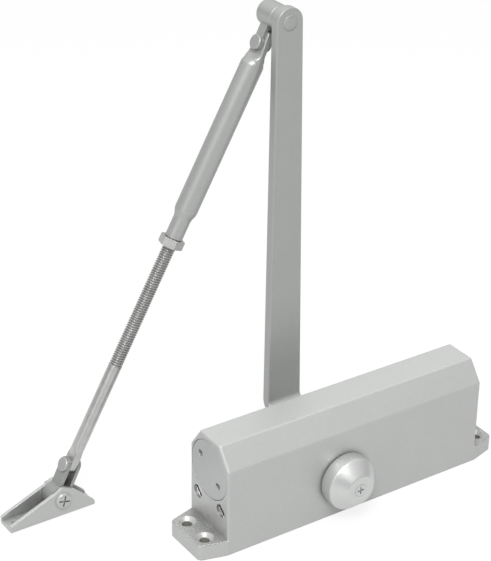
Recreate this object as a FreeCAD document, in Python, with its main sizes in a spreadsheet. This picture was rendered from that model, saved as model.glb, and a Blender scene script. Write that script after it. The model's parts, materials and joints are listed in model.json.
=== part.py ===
import FreeCAD, Part
import math
import os
import re

import Sketcher
from FreeCAD import Placement, Rotation, Vector

# Hydraulic door closer. X runs along the body, Y from the cap to the arm, Z up from the mounting face.
# The origin is the centre of the four fixing holes, on the mounting face. Millimetres and degrees.
SIZES = {
    # Body casting
    "body_length": 185.4,
    "bore_size": 32.0,
    "bore_wall": 4.0,
    "crown_wall": 5.5,
    "chamfer_drop": 13.3,
    "chamfer_run": 9.8,
    "edge_round": 1.5,
    "flange_length": 16.7,
    "flange_thickness": 10.0,
    "flange_taper": 4.6,
    "flange_round": 3.0,
    "flange_edge_round": 0.8,
    "fixing_edge": 7.6,
    "fixing_inset": 10.5,
    "fixing_hole": 6.0,
    "fixing_sink": 10.4,
    "spindle_inset": 82.0,
    "spindle_height": 24.8,
    # Fits
    "running_gap": 0.05,
    "side_gap": 0.1,
    # End plugs and their rings
    "plug_length": 12.0,
    "plug_lip": 2.7,
    "plug_lip_depth": 3.0,
    "plug_seam": 0.2,
    "plug_edge": 0.4,
    "ring_depth": 2.0,
    "ring_width": 2.6,
    "ring_setback": 3.0,
    "spanner_hole": 4.5,
    "spanner_depth": 4.0,
    "spanner_radius": 11.3,
    "spanner_angle": 35.0,
    # Regulating valves
    "valve_pitch": 24.0,
    "valve_drop": 21.6,
    "valve_mouth": 8.4,
    "valve_mouth_depth": 6.2,
    "valve_bore": 6.0,
    "valve_bore_depth": 24.0,
    "valve_recess": 1.0,
    "valve_slot": 1.9,
    "valve_slot_depth": 2.0,
    "valve_turn": 45.0,
    "valve_ring_depth": 0.9,
    "valve_ring_width": 2.0,
    "valve_ring_setback": 10.0,
    "valve_needle": 4.0,
    "valve_tip": 1.6,
    "port_size": 3.0,
    "port_inset": 16.0,
    # Rack and pinion
    "tooth_module": 2.0,
    "tooth_count": 10,
    "pressure_angle": 20.0,
    "profile_shift": 0.45,
    "pinion_addendum": 0.75,
    "pinion_dedendum": 1.25,
    "backlash": 0.24,
    "root_gap": 0.5,
    "rack_flat": 1.65,
    "rack_gaps": 8,
    "spindle_swing": 180.0,
    # Spindle and its bearings
    "journal_size": 14.0,
    "cross_bore_gap": 0.2,
    "bush_clearance": 0.2,
    "pinion_end_gap": 0.4,
    "gland_length": 3.6,
    "gland_lip": 1.0,
    "seal_section": 1.9,
    "square_size": 9.8,
    "square_length": 5.8,
    "cap_screw_size": 4.0,
    "cap_screw_depth": 8.0,
    "arm_screw_size": 6.0,
    "arm_screw_depth": 10.0,
    # Spindle cap
    "cap_gap": 0.6,
    "cap_radius": 16.9,
    "cap_grip": 9.1,
    "cap_length": 16.6,
    "cap_face_radius": 9.3,
    "cap_edge": 0.5,
    "cap_socket_gap": 0.1,
    "cap_screw_head": 7.6,
    "cap_screw_sink": 1.8,
    # Piston and check valve
    "left_land": 18.0,
    "right_land": 8.0,
    "recess_clearance": 0.3,
    "check_bore": 10.0,
    "check_bore_depth": 14.0,
    "check_port": 4.4,
    "check_ball_size": 6.4,
    "check_retainer_length": 3.0,
    "check_retainer_hole": 3.6,
    "check_wire": 0.6,
    "check_spring_size": 4.6,
    "check_spring_turns": 3.0,
    # Closing springs
    "spring_pocket": 15.6,
    "spring_pocket_depth": 30.0,
    "outer_wire": 4.4,
    "outer_spring_size": 31.0,
    "outer_turns": 7.0,
    "inner_wire": 2.6,
    "inner_spring_size": 15.0,
    "inner_turns": 13.0,
    # Main arm
    "arm_length": 265.0,
    "arm_thickness": 6.0,
    "arm_hub_radius": 12.2,
    "arm_tip_radius": 8.7,
    "arm_setback": 22.0,
    "hub_gap": 5.0,
    "crank_start": 11.5,
    "crank_rise": 11.0,
    "crank_inner_round": 3.0,
    "arm_edge_round": 0.8,
    "arm_washer_size": 13.0,
    "arm_washer_thickness": 1.6,
    "arm_screw_head": 10.0,
    "arm_screw_head_height": 4.0,
    # Elbow
    "rivet_size": 7.0,
    "rivet_head": 9.0,
    "rivet_head_height": 0.9,
    "rivet_tail": 12.0,
    "rivet_tail_height": 2.2,
    "elbow_washer_size": 14.6,
    "elbow_washer_thickness": 3.5,
    "knuckle_length": 13.5,
    "knuckle_radius": 7.4,
    "knuckle_reach": 17.5,
    "knuckle_edge": 0.6,
    "fork_gap": 0.2,
    "fork_ear": 1.8,
    "fork_neck": 6.4,
    "fork_eye": 4.3,
    "pin_size": 5.0,
    "pin_head": 9.0,
    "pin_head_height": 1.6,
    "pin_tail_height": 0.9,
    # Forearm tube, nut and rod
    "tube_size": 13.5,
    "tube_wall": 1.5,
    "tube_length": 122.0,
    "tube_shoulder": 11.5,
    "tongue_thickness": 3.8,
    "tongue_width": 9.3,
    "tongue_root": 6.5,
    "tongue_end": 7.6,
    "tongue_corner": 1.2,
    "neck_size": 10.5,
    "neck_length": 12.5,
    "neck_taper": 5.0,
    "nut_across": 13.0,
    "nut_thickness": 5.2,
    "nut_turn": 15.0,
    "nut_corner": 14.2,
    "nut_corner_drop": 0.9,
    "rod_size": 8.0,
    "rod_in_tube": 49.5,
    "rod_out_of_tube": 152.8,
    "eye_thickness": 4.6,
    "eye_width": 8.0,
    "eye_root": 7.0,
    "eye_taper": 6.0,
    # Shoe
    "shoe_setback": 53.0,
    "shoe_clear": 60.2,
    "axle_height": 10.8,
    "axle_size": 6.0,
    "axle_head": 10.4,
    "axle_head_height": 1.6,
    "axle_nut_across": 10.0,
    "axle_nut_thickness": 3.2,
    "link_length": 19.9,
    "link_strap": 2.0,
    "link_loop": 12.8,
    "link_top": 5.0,
    "link_side_gap": 0.3,
    "shoe_inner_width": 10.0,
    "shoe_wall": 2.0,
    "shoe_base": 2.0,
    "shoe_left": 34.8,
    "shoe_left_height": 4.8,
    "shoe_slope_run": 29.5,
    "shoe_slope_height": 16.8,
    "shoe_peak": 9.2,
    "shoe_right_height": 3.4,
    "shoe_right": 21.0,
    "shoe_corner": 2.0,
    "shoe_bend": 1.2,
    "shoe_hole": 4.5,
    "shoe_hole_edge": 5.5,
    "shoe_hole_pitch": 9.0,
    # Cross recesses of the screw heads
    "cap_cross": 4.6,
    "axle_cross": 7.2,
    "axle_turn": 15.0,
    "cross_slot": 1.1,
    "cross_depth": 1.0,
}

# Sizes that follow from the ones above
FORMULAS = {
    "half_length": "body_length / 2",
    "bore_radius": "bore_size / 2",
    "body_width": "bore_size + 2 * bore_wall",
    "half_width": "body_width / 2",
    "piston_radius": "bore_radius - running_gap",
    "pitch_radius": "tooth_module * tooth_count / 2",
    "tooth_pitch": "pi * tooth_module",
    "pinion_tip": "pitch_radius + tooth_module * (pinion_addendum + profile_shift)",
    "pinion_root": "pitch_radius - tooth_module * (pinion_dedendum - profile_shift)",
    "stroke": "pitch_radius * pi * spindle_swing / 180",
    "rack_line": "spindle_height + pitch_radius + tooth_module * profile_shift",
    "rack_tip": "rack_line - tooth_module",
    "rack_root": "spindle_height + pinion_tip + root_gap",
    "bore_height": "rack_tip + piston_radius - rack_flat",
    "body_height": "bore_height + bore_radius + crown_wall",
    "side_height": "body_height - chamfer_drop",
    "top_half": "half_width - chamfer_run",
    "flange_end": "half_length + flange_length",
    "flange_end_half": "half_width - flange_taper",
    "fixing_x": "flange_end - fixing_edge",
    "fixing_y": "half_width - fixing_inset",
    "spindle_x": "spindle_inset - half_length",
    "plug_radius": "bore_radius - running_gap",
    "plug_lip_radius": "bore_radius + plug_lip",
    "plug_inner": "half_length - plug_length",
    "valve_height": "bore_height - valve_drop",
    "cross_radius": "pinion_tip + cross_bore_gap",
    "cross_top": "bore_height - spindle_height - cross_radius",
    "bush_inner": "sqrt(bore_radius ^ 2 - cross_top ^ 2) + bush_clearance",
    "gland_inner": "half_width - gland_length",
    "journal_radius": "journal_size / 2",
    "running_bore": "journal_radius + running_gap",
    "pinion_half": "bush_inner - pinion_end_gap",
    "hub_front": "half_width + hub_gap",
    "hub_back": "hub_front + arm_thickness",
    "square_end": "hub_front + square_length",
    "arm_front": "half_width + arm_setback",
    "arm_back": "arm_front + arm_thickness",
    "crank_slip": "arm_thickness * tan(atan((arm_front - hub_front) / crank_rise) / 2)",
    "crank_outer_round": "crank_inner_round + arm_thickness",
    "cap_base": "half_width + cap_gap",
    "recess_left": "spindle_x - stroke - pinion_tip - recess_clearance",
    "recess_right": "spindle_x + pinion_tip + recess_clearance",
    "piston_left": "recess_left - left_land",
    "piston_right": "recess_right + right_land",
    "check_seat": "piston_left + check_bore_depth",
    "check_lift": "sqrt((check_ball_size / 2) ^ 2 - (check_port / 2) ^ 2)",
    "elbow_washer_back": "arm_back + elbow_washer_thickness",
    "knuckle_front": "elbow_washer_back + side_gap",
    "knuckle_y": "knuckle_front + knuckle_length / 2",
    "rivet_shank_end": "knuckle_front + knuckle_length + side_gap",
    "fork_inner": "tongue_thickness / 2 + fork_gap",
    "fork_outer": "fork_inner + fork_ear",
    "tongue_swing": "sqrt((tongue_width / 2) ^ 2 + tongue_end ^ 2)",
    "pin_hole": "pin_size / 2 + running_gap",
    "forearm_length": "tube_length + rod_out_of_tube",
    "rod_hole": "rod_size / 2 + running_gap",
    "tube_bore": "tube_size / 2 - tube_wall",
    "neck_start": "tube_length - neck_length - neck_taper",
    "rod_start": "tube_length - rod_in_tube",
    "nut_start": "tube_length + side_gap",
    "shoe_x": "-half_length - shoe_clear",
    "shoe_y": "half_width + shoe_setback",
    "link_inner": "eye_thickness / 2 + fork_gap",
    "link_outer": "link_inner + link_strap",
    "link_half_width": "shoe_inner_width / 2 - link_side_gap",
    "shoe_inner": "shoe_inner_width / 2",
    "shoe_outer": "shoe_inner + shoe_wall",
    # A cut starts and ends this far outside what it cuts
    "cut_margin": "2",
}


doc = FreeCAD.newDocument("door_closer")
sheet = doc.addObject("Spreadsheet::Sheet", "sizes")


def fill_sheet():
    """Writes each driving size into a cell of its own, with its name as the cell's alias."""
    for row, (alias, value) in enumerate(SIZES.items(), start=1):
        sheet.set(f"A{row}", alias)
        sheet.set(f"B{row}", str(value))
        sheet.setAlias(f"B{row}", alias)
    doc.recompute()


def cells(formula):
    """The formula with every size led to its cell and every named formula written out."""

    def lead(match):
        name = match[0]
        if name in SIZES:
            return f"sizes.{name}"
        return f"({cells(FORMULAS[name])})" if name in FORMULAS else name

    return re.sub(r"[a-z_][a-z_0-9]*", lead, formula)


def number(formula):
    """What a formula comes to with the sheet's present sizes."""
    return float(sheet.evalExpression(cells(formula)))


def new_body(label):
    """An empty body whose label names its file."""
    body = doc.addObject("PartDesign::Body", label)
    body.Label = label
    return body


def sketch_on(body, plane, at="0"):
    """A sketch across the body's own X, Y or Z axis, at a formula along that axis."""
    role = {"X": "YZ_Plane", "Y": "XZ_Plane", "Z": "XY_Plane"}[plane]
    base = next(f for f in body.Origin.OriginFeatures if f.Role == role)
    sketch = body.newObject("Sketcher::SketchObject", f"{body.Name}_{plane.lower()}_sketch")
    sketch.AttachmentSupport = (base, [""])
    sketch.MapMode = "FlatFace"
    sketch.setExpression("AttachmentOffset.Base.z", cells(f"-({at})" if plane == "Y" else at))
    return sketch


def faces_minus(sketch):
    """True where the sketch's own normal runs against the axis that it lies across."""
    return sketch.AttachmentSupport[0][0].Role == "XZ_Plane"


def hold(sketch, shape, point, x, y):
    """Ties one point of a sketch to two formulas, measured from the sketch's origin."""
    for kind, formula in (("DistanceX", x), ("DistanceY", y)):
        tie = Sketcher.Constraint(kind, -1, 1, shape, point, number(formula))
        sketch.setExpression(f"Constraints[{sketch.addConstraint(tie)}]", cells(formula))


def hold_radius(sketch, shape, radius):
    """Ties a circle's or an arc's radius to a formula."""
    tie = sketch.addConstraint(Sketcher.Constraint("Radius", shape, number(radius)))
    sketch.setExpression(f"Constraints[{tie}]", cells(radius))


def polygon(sketch, corners):
    """A closed run of straight lines through corners that are pairs of formulas."""
    points = [Vector(number(x), number(y), 0) for x, y in corners]
    first = sketch.GeometryCount
    for start, end in zip(points, points[1:] + points[:1]):
        sketch.addGeometry(Part.LineSegment(start, end))
    for k, (x, y) in enumerate(corners):
        before = first + (k - 1) % len(corners)
        sketch.addConstraint(Sketcher.Constraint("Coincident", before, 2, first + k, 1))
        hold(sketch, first + k, 1, x, y)


def rectangle(sketch, left, right, bottom, top):
    """A rectangle between two formulas each way."""
    polygon(sketch, [(left, bottom), (right, bottom), (right, top), (left, top)])


def hexagon(sketch, across):
    """A hexagon about the sketch's origin, with two corners on the horizontal axis."""
    corner = f"({across}) / sqrt(3)"
    polygon(sketch, [(f"{corner} * cos({60 * k})", f"{corner} * sin({60 * k})") for k in range(6)])


def circle(sketch, x, y, radius):
    """A circle whose centre and radius are formulas."""
    shape = Part.Circle(Vector(number(x), number(y), 0), Vector(0, 0, 1), number(radius))
    index = sketch.addGeometry(shape)
    hold(sketch, index, 3, x, y)
    hold_radius(sketch, index, radius)


def stadium(sketch, low_end, high_end):
    """Two arcs, each given as x, y and radius formulas, joined by the straight lines that touch both."""
    (x1, y1, r1), (x2, y2, r2) = [[number(f) for f in end] for end in (low_end, high_end)]
    heading = math.atan2(y2 - y1, x2 - x1)
    spread = math.acos((r1 - r2) / math.hypot(x2 - x1, y2 - y1))
    up = Vector(0, 0, 1)
    around = heading - spread + 2 * math.pi
    low = Part.ArcOfCircle(Part.Circle(Vector(x1, y1, 0), up, r1), heading + spread, around)
    high = Part.ArcOfCircle(Part.Circle(Vector(x2, y2, 0), up, r2), heading - spread, heading + spread)
    rising = Part.LineSegment(low.EndPoint, high.StartPoint)
    falling = Part.LineSegment(high.EndPoint, low.StartPoint)
    ring = [sketch.addGeometry(shape) for shape in (low, rising, high, falling)]
    for shape, following in zip(ring, ring[1:] + ring[:1]):
        sketch.addConstraint(Sketcher.Constraint("Tangent", shape, 2, following, 1))
    for shape, (x, y, radius) in ((ring[0], low_end), (ring[2], high_end)):
        hold(sketch, shape, 3, x, y)
        hold_radius(sketch, shape, radius)


def parent(sketch):
    """The body that a sketch belongs to."""
    return sketch.getParentGeoFeatureGroup()


def pad(sketch, length, upwards=True):
    """Adds the sketch's shape over a length, up or down the axis that the sketch lies across."""
    body = parent(sketch)
    feature = body.newObject("PartDesign::Pad", f"{body.Name}_pad")
    feature.Profile = sketch
    feature.setExpression("Length", cells(length))
    feature.Reversed = upwards == faces_minus(sketch)
    return feature


def pocket(sketch, length, upwards=True):
    """Cuts the sketch's shape away over a length, and stops if that removes nothing."""
    body = parent(sketch)
    doc.recompute()
    before = body.Tip.Shape.Volume
    feature = body.newObject("PartDesign::Pocket", f"{body.Name}_pocket")
    feature.Profile = sketch
    feature.setExpression("Length", cells(length))
    feature.Reversed = upwards != faces_minus(sketch)
    doc.recompute()
    if not feature.Shape.Volume < before:
        raise RuntimeError(f"{feature.Label} cuts nothing")
    return feature


def lathe(label, profile):
    """A turned piece: radius and height formulas, turned round the local Z axis."""
    body = new_body(label)
    sketch = sketch_on(body, "Y")
    polygon(sketch, profile)
    feature = body.newObject("PartDesign::Revolution", f"{label}_turned")
    feature.Profile = sketch
    feature.ReferenceAxis = (sketch, ["V_Axis"])
    feature.Angle = 360
    return body


def ring(label, inner, outer, low, high):
    """A plain turned ring between two radii and two heights."""
    return lathe(label, [(inner, low), (outer, low), (outer, high), (inner, high)])


def soften(body, radius, picks, kind="Fillet"):
    """Rounds or chamfers the edges of a body that a test picks."""
    doc.recompute()
    base = body.Tip
    names = [f"Edge{k}" for k, edge in enumerate(base.Shape.Edges, 1) if picks(edge)]
    if not names:
        raise RuntimeError(f"{body.Label}: no edge to round")
    feature = body.newObject(f"PartDesign::{kind}", f"{body.Name}_{kind.lower()}")
    feature.Base = (base, names)
    feature.setExpression("Radius" if kind == "Fillet" else "Size", cells(radius))


def near(value, formula):
    """True where a measured length is the formula's, within a thousandth of a millimetre."""
    return abs(value - number(formula)) < 1e-3


def rim(height, radius):
    """A test for the round edge of a turned piece at a height and a radius."""

    def picks(edge):
        flat = edge.BoundBox.ZLength < 1e-3
        return flat and near(edge.CenterOfMass.z, height) and near(edge.Length, f"2 * pi * ({radius})")

    return picks


def level(edge, low, high):
    """True where an edge lies wholly between two heights."""
    box = edge.BoundBox
    return box.ZMin > low - 1e-3 and box.ZMax < high + 1e-3


def cross_recess(body, top, size):
    """Cuts a cross of a size for a screwdriver into a head whose flat top is at a height."""
    for wide, tall in ((size, "cross_slot"), ("cross_slot", size)):
        slot = sketch_on(body, "Z", top)
        rectangle(slot, f"-{wide} / 2", f"{wide} / 2", f"-{tall} / 2", f"{tall} / 2")
        pocket(slot, "cross_depth", upwards=False)


# Where the linkage stands


class Linkage:
    """The arm and forearm between the spindle and the shoe's axle, which stands on the mounting plane."""

    def __init__(self):
        self.spindle = Vector(number("spindle_x"), 0, number("spindle_height"))
        self.axle = Vector(number("shoe_x"), number("shoe_y"), number("axle_height"))
        self.tilt = math.degrees(math.asin(number("(shoe_y - knuckle_y) / forearm_length")))
        forearm = number("forearm_length") * math.cos(math.radians(self.tilt))
        lower = number("knuckle_reach") + forearm + number("link_length")
        upper = number("arm_length")
        across, rise = self.axle.x - self.spindle.x, self.axle.z - self.spindle.z
        span = math.hypot(across, rise)
        opening = math.acos((upper**2 + span**2 - lower**2) / (2 * upper * span))
        bearing = math.atan2(across, rise) + opening
        self.arm_angle = math.degrees(bearing)
        self.elbow = self.spindle + Vector(math.sin(bearing), 0, math.cos(bearing)) * upper
        drop = self.elbow - self.axle
        self.lean = math.degrees(math.atan2(drop.x, drop.z))

    def about_spindle(self):
        """The arm's frame: local Z runs from the spindle to the elbow."""
        return Placement(self.spindle, Rotation(Vector(0, 1, 0), self.arm_angle))

    def at_rivet(self):
        """The frame of what turns with the arm at the elbow: local Z runs along the rivet."""
        place = Vector(self.elbow.x, 0, self.elbow.z)
        return Placement(place, Rotation(Vector(1, 0, 0), -90))

    def at_knuckle(self):
        """The knuckle's frame: local Z points from the shoe to the elbow, local X along the tube's pin."""
        place = Vector(self.elbow.x, number("knuckle_y"), self.elbow.z)
        return Placement(place, Rotation(Vector(0, 1, 0), self.lean))

    def at_tube(self):
        """The forearm's frame: at the tube's pin, with local Z up along the tube."""
        knuckle = self.at_knuckle()
        place = knuckle.multVec(Vector(0, 0, -number("knuckle_reach")))
        return Placement(place, knuckle.Rotation.multiply(Rotation(Vector(1, 0, 0), self.tilt)))

    def at_link(self):
        """The link's frame: at the shoe's axle, with local Z towards the elbow."""
        return Placement(self.axle, Rotation(Vector(0, 1, 0), self.lean))

    def at_shoe(self):
        """The shoe's frame: below its axle, on the mounting plane."""
        return Placement(Vector(self.axle.x, self.axle.y, 0), Rotation())


def facing(axis, angle, x="0", y="0", z="0"):
    """A frame at three formulas, turned about one of the main axes."""
    return Placement(Vector(number(x), number(y), number(z)), Rotation(axis, angle))


X_AXIS, Y_AXIS, Z_AXIS = Vector(1, 0, 0), Vector(0, 1, 0), Vector(0, 0, 1)


# Body, plugs and valves


def make_housing():
    """The casting: a block with a chamfered crown on a flanged foot, bored lengthways and across."""
    body = new_body("housing")
    section = sketch_on(body, "X", "-half_length")
    crown = [("half_width", "side_height"), ("top_half", "body_height")]
    mirrored = [(f"-{y}", z) for y, z in reversed(crown)]
    polygon(section, [("-half_width", "0"), ("half_width", "0"), *crown, *mirrored])
    pad(section, "body_length")
    foot = sketch_on(body, "Z")
    right = [("half_length", "-half_width"), ("flange_end", "-flange_end_half")]
    right += [("flange_end", "flange_end_half"), ("half_length", "half_width")]
    polygon(foot, right + [(f"-{x}", y) for x, y in reversed(right)])
    pad(foot, "flange_thickness")
    soften(body, "edge_round", lambda edge: edge.BoundBox.ZMax > number("flange_thickness") + 1)
    soften(
        body,
        "flange_round",
        lambda edge: level(edge, 0, number("flange_thickness"))
        and edge.BoundBox.ZLength > 1
        and near(abs(edge.CenterOfMass.x), "flange_end"),
    )
    soften(
        body,
        "flange_edge_round",
        lambda edge: level(edge, number("flange_thickness"), number("flange_thickness"))
        and near(max(abs(edge.BoundBox.XMin), abs(edge.BoundBox.XMax)), "flange_end")
        and near(edge.BoundBox.XLength, "0"),
    )
    bore_housing(body)
    return body


def bore_housing(body):
    """The cylinder with its plug seats, the spindle's cross bore, the fixing holes and the valve bores."""
    cylinder = sketch_on(body, "X", "half_length")
    circle(cylinder, "0", "bore_height", "bore_radius")
    pocket(cylinder, "body_length", upwards=False)
    for at, upwards in (("-half_length", True), ("half_length", False)):
        seat = sketch_on(body, "X", at)
        circle(seat, "0", "bore_height", "plug_lip_radius")
        pocket(seat, "plug_lip_depth", upwards)
    cross = sketch_on(body, "Y", "-half_width")
    circle(cross, "spindle_x", "spindle_height", "cross_radius")
    pocket(cross, "body_width")
    holes = sketch_on(body, "Z", "flange_thickness")
    for x in ("fixing_x", "-fixing_x"):
        for y in ("fixing_y", "-fixing_y"):
            circle(holes, x, y, "fixing_hole / 2")
    pocket(holes, "flange_thickness", upwards=False)
    soften(body, "(fixing_sink - fixing_hole) / 2", rim("flange_thickness", "fixing_hole / 2"), "Chamfer")
    for radius, depth in (("valve_mouth / 2", "valve_mouth_depth"), ("valve_bore / 2", "valve_bore_depth")):
        mouths = sketch_on(body, "X", "-half_length")
        for y in ("valve_pitch / 2", "-valve_pitch / 2"):
            circle(mouths, y, "valve_height", radius)
        pocket(mouths, depth)
    ports = sketch_on(body, "Z", "valve_height")
    for y in ("valve_pitch / 2", "-valve_pitch / 2"):
        circle(ports, "-half_length + port_inset", y, "port_size / 2")
    pocket(ports, "valve_drop")


def make_end_plugs():
    """The cylinder's two plugs, flush in the end faces, each with a sealing ring in a groove."""
    groove_top = "ring_setback + ring_width - plug_length"
    groove_bottom = "ring_setback - plug_length"
    groove_radius = "bore_radius - ring_depth"
    rim_radius = "plug_lip_radius - plug_seam"
    for side, turn, end in (("left", -90, "-half_length"), ("right", 90, "half_length")):
        frame = facing(Y_AXIS, turn, x=end, z="bore_height")
        plug = lathe(
            f"{side}_end_plug",
            [
                ("0", "-plug_length"),
                ("plug_radius", "-plug_length"),
                ("plug_radius", groove_bottom),
                (groove_radius, groove_bottom),
                (groove_radius, groove_top),
                ("plug_radius", groove_top),
                ("plug_radius", "-plug_lip_depth"),
                (rim_radius, "-plug_lip_depth"),
                (rim_radius, "-plug_edge"),
                (f"{rim_radius} - plug_edge", "0"),
                ("0", "0"),
            ],
        )
        spanner = sketch_on(plug, "Z")
        for sign in ("", "-"):
            x = f"{sign}spanner_radius * sin(spanner_angle)"
            y = f"{sign}spanner_radius * cos(spanner_angle)"
            circle(spanner, x, y, "spanner_hole / 2")
        pocket(spanner, "spanner_depth", upwards=False)
        plug.Placement = frame
        seal = ring(f"{side}_plug_ring", groove_radius, "bore_radius", groove_bottom, groove_top)
        seal.Placement = frame


def make_valves():
    """The two regulating screws in the left end, each with a slotted head, a ring and a needle tip."""
    head, shank = "valve_mouth / 2 - running_gap", "valve_bore / 2 - running_gap"
    head_bottom = "running_gap - valve_mouth_depth"
    groove_top, groove_bottom = "-valve_ring_setback", "-valve_ring_setback - valve_ring_width"
    groove = "valve_bore / 2 - valve_ring_depth"
    shank_end = "valve_needle - valve_bore_depth"
    for name, y in (("closing", "valve_pitch / 2"), ("latching", "-valve_pitch / 2")):
        frame = facing(Y_AXIS, -90, "-half_length", y, "valve_height")
        screw = lathe(
            f"{name}_valve",
            [
                ("0", "-valve_recess"),
                (head, "-valve_recess"),
                (head, head_bottom),
                (shank, head_bottom),
                (shank, groove_top),
                (groove, groove_top),
                (groove, groove_bottom),
                (shank, groove_bottom),
                (shank, shank_end),
                ("valve_tip / 2", "side_gap - valve_bore_depth"),
                ("0", "side_gap - valve_bore_depth"),
            ],
        )
        slot = sketch_on(screw, "Z", "-valve_recess")
        rectangle(slot, "-valve_mouth", "valve_mouth", "-valve_slot / 2", "valve_slot / 2")
        pocket(slot, "valve_slot_depth", upwards=False)
        screw.Placement = frame.multiply(facing(Z_AXIS, number("valve_turn")))
        seal = ring(f"{name}_valve_ring", groove, shank, groove_bottom, groove_top)
        seal.Placement = frame


# Spindle, bearings, cap and piston


def make_bearings():
    """On both sides of the body: the spindle's bush, its seal, and the gland that holds them."""
    for side, turn in (("front", 90), ("rear", -90)):
        frame = facing(X_AXIS, turn, "spindle_x", "0", "spindle_height")
        bush = ring(f"{side}_bush", "running_bore", "cross_radius", "bush_inner", "gland_inner")
        seat = "journal_radius + seal_section"
        seal = ring(f"{side}_shaft_seal", "running_bore", seat, "gland_inner", "half_width - gland_lip")
        gland = lathe(
            f"{side}_gland",
            [
                (seat, "gland_inner"),
                ("cross_radius", "gland_inner"),
                ("cross_radius", "half_width"),
                ("running_bore + side_gap", "half_width"),
                ("running_bore + side_gap", "half_width - gland_lip"),
                (seat, "half_width - gland_lip"),
            ],
        )
        for piece in (bush, seal, gland):
            piece.Placement = frame


def involute(angle):
    """The involute function of an angle in radians."""
    return math.tan(angle) - angle


def tooth_gap(sketch):
    """One gap between two pinion teeth, centred half a tooth away from the sketch's vertical axis."""
    pitch, tip, root = (number(name) for name in ("pitch_radius", "pinion_tip", "pinion_root"))
    pressure = math.radians(number("pressure_angle"))
    base = pitch * math.cos(pressure)
    widening = 2 * number("profile_shift") * math.tan(pressure)
    thickness = number("tooth_module") * (math.pi / 2 + widening) - number("backlash")
    half_tooth = thickness / (2 * pitch) + involute(pressure)
    half_pitch = math.pi / number("tooth_count")

    def flank(radius, side):
        """The point of one flank at a radius; below the base circle the flank is radial."""
        roll = involute(math.acos(min(1.0, base / radius)))
        bearing = half_pitch + side * (half_pitch - half_tooth + roll)
        return Vector(radius * math.sin(bearing), radius * math.cos(bearing), 0)

    outside = tip + number("cross_bore_gap")
    middle = (base + outside) / 2
    left, right = ([flank(r, side) for r in (root, base, middle, outside)] for side in (-1, 1))
    along = Vector(math.sin(half_pitch), math.cos(half_pitch), 0)
    sketch.addGeometry(Part.Arc(left[0], along * root, right[0]))
    for points in (left, right):
        sketch.addGeometry(Part.LineSegment(points[0], points[1]))
        sketch.addGeometry(Part.Arc(*points[1:]))
    sketch.addGeometry(Part.Arc(left[3], along * outside, right[3]))


def make_spindle():
    """The spindle: a pinion between two journals, with a square and a tapped hole at each end."""
    body = lathe(
        "pinion_spindle",
        [
            ("0", "-hub_front"),
            ("journal_radius", "-hub_front"),
            ("journal_radius", "-pinion_half"),
            ("pinion_tip", "-pinion_half"),
            ("pinion_tip", "pinion_half"),
            ("journal_radius", "pinion_half"),
            ("journal_radius", "hub_front"),
            ("0", "hub_front"),
        ],
    )
    for at, upwards in (("-hub_front", False), ("hub_front", True)):
        square = sketch_on(body, "Z", at)
        half = "square_size / 2"
        rectangle(square, f"-{half}", half, f"-{half}", half)
        pad(square, "square_length", upwards)
    for at, upwards, screw in (("-square_end", True, "cap"), ("square_end", False, "arm")):
        hole = sketch_on(body, "Z", at)
        circle(hole, "0", "0", f"{screw}_screw_size / 2")
        pocket(hole, f"{screw}_screw_depth", upwards)
    gap = sketch_on(body, "Z", "pinion_half")
    tooth_gap(gap)
    cut = pocket(gap, "2 * pinion_half", upwards=False)
    teeth = body.newObject("PartDesign::PolarPattern", "pinion_teeth")
    teeth.Originals = [cut]
    teeth.Axis = (gap, ["N_Axis"])
    teeth.Angle = 360
    teeth.setExpression("Occurrences", cells("tooth_count"))
    body.Tip = teeth
    body.Placement = facing(X_AXIS, -90, "spindle_x", "0", "spindle_height")


def make_cap():
    """The cap over the spindle's front square, with a gripped rim, a coned front and a sunk screw."""
    screw_hole = "cap_screw_size / 2 + side_gap"
    sink = "cap_length - cap_screw_sink"
    head = "cap_screw_head / 2"
    socket_start = "hub_front - cap_base"
    frame = facing(X_AXIS, 90, "spindle_x", "-cap_base", "spindle_height")
    cap = lathe(
        "spindle_cap",
        [
            ("running_bore + side_gap", "0"),
            ("cap_radius - cap_edge", "0"),
            ("cap_radius", "cap_edge"),
            ("cap_radius", "cap_grip"),
            ("cap_face_radius", "cap_length"),
            (head, "cap_length"),
            (screw_hole, sink),
            (screw_hole, socket_start),
            ("running_bore + side_gap", socket_start),
        ],
    )
    socket = sketch_on(cap, "Z", socket_start)
    half = "square_size / 2 + cap_socket_gap / 2"
    rectangle(socket, f"-({half})", half, f"-({half})", half)
    pocket(socket, "square_length + cap_socket_gap")
    cap.Placement = frame
    tip = "square_end - cap_base - cap_screw_depth + side_gap"
    screw = lathe(
        "cap_screw",
        [
            ("0", tip),
            ("cap_screw_size / 2", tip),
            ("cap_screw_size / 2", f"{sink} - side_gap"),
            (head, "cap_length"),
            ("0", "cap_length"),
        ],
    )
    cross_recess(screw, "cap_length", "cap_cross")
    screw.Placement = frame


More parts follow.
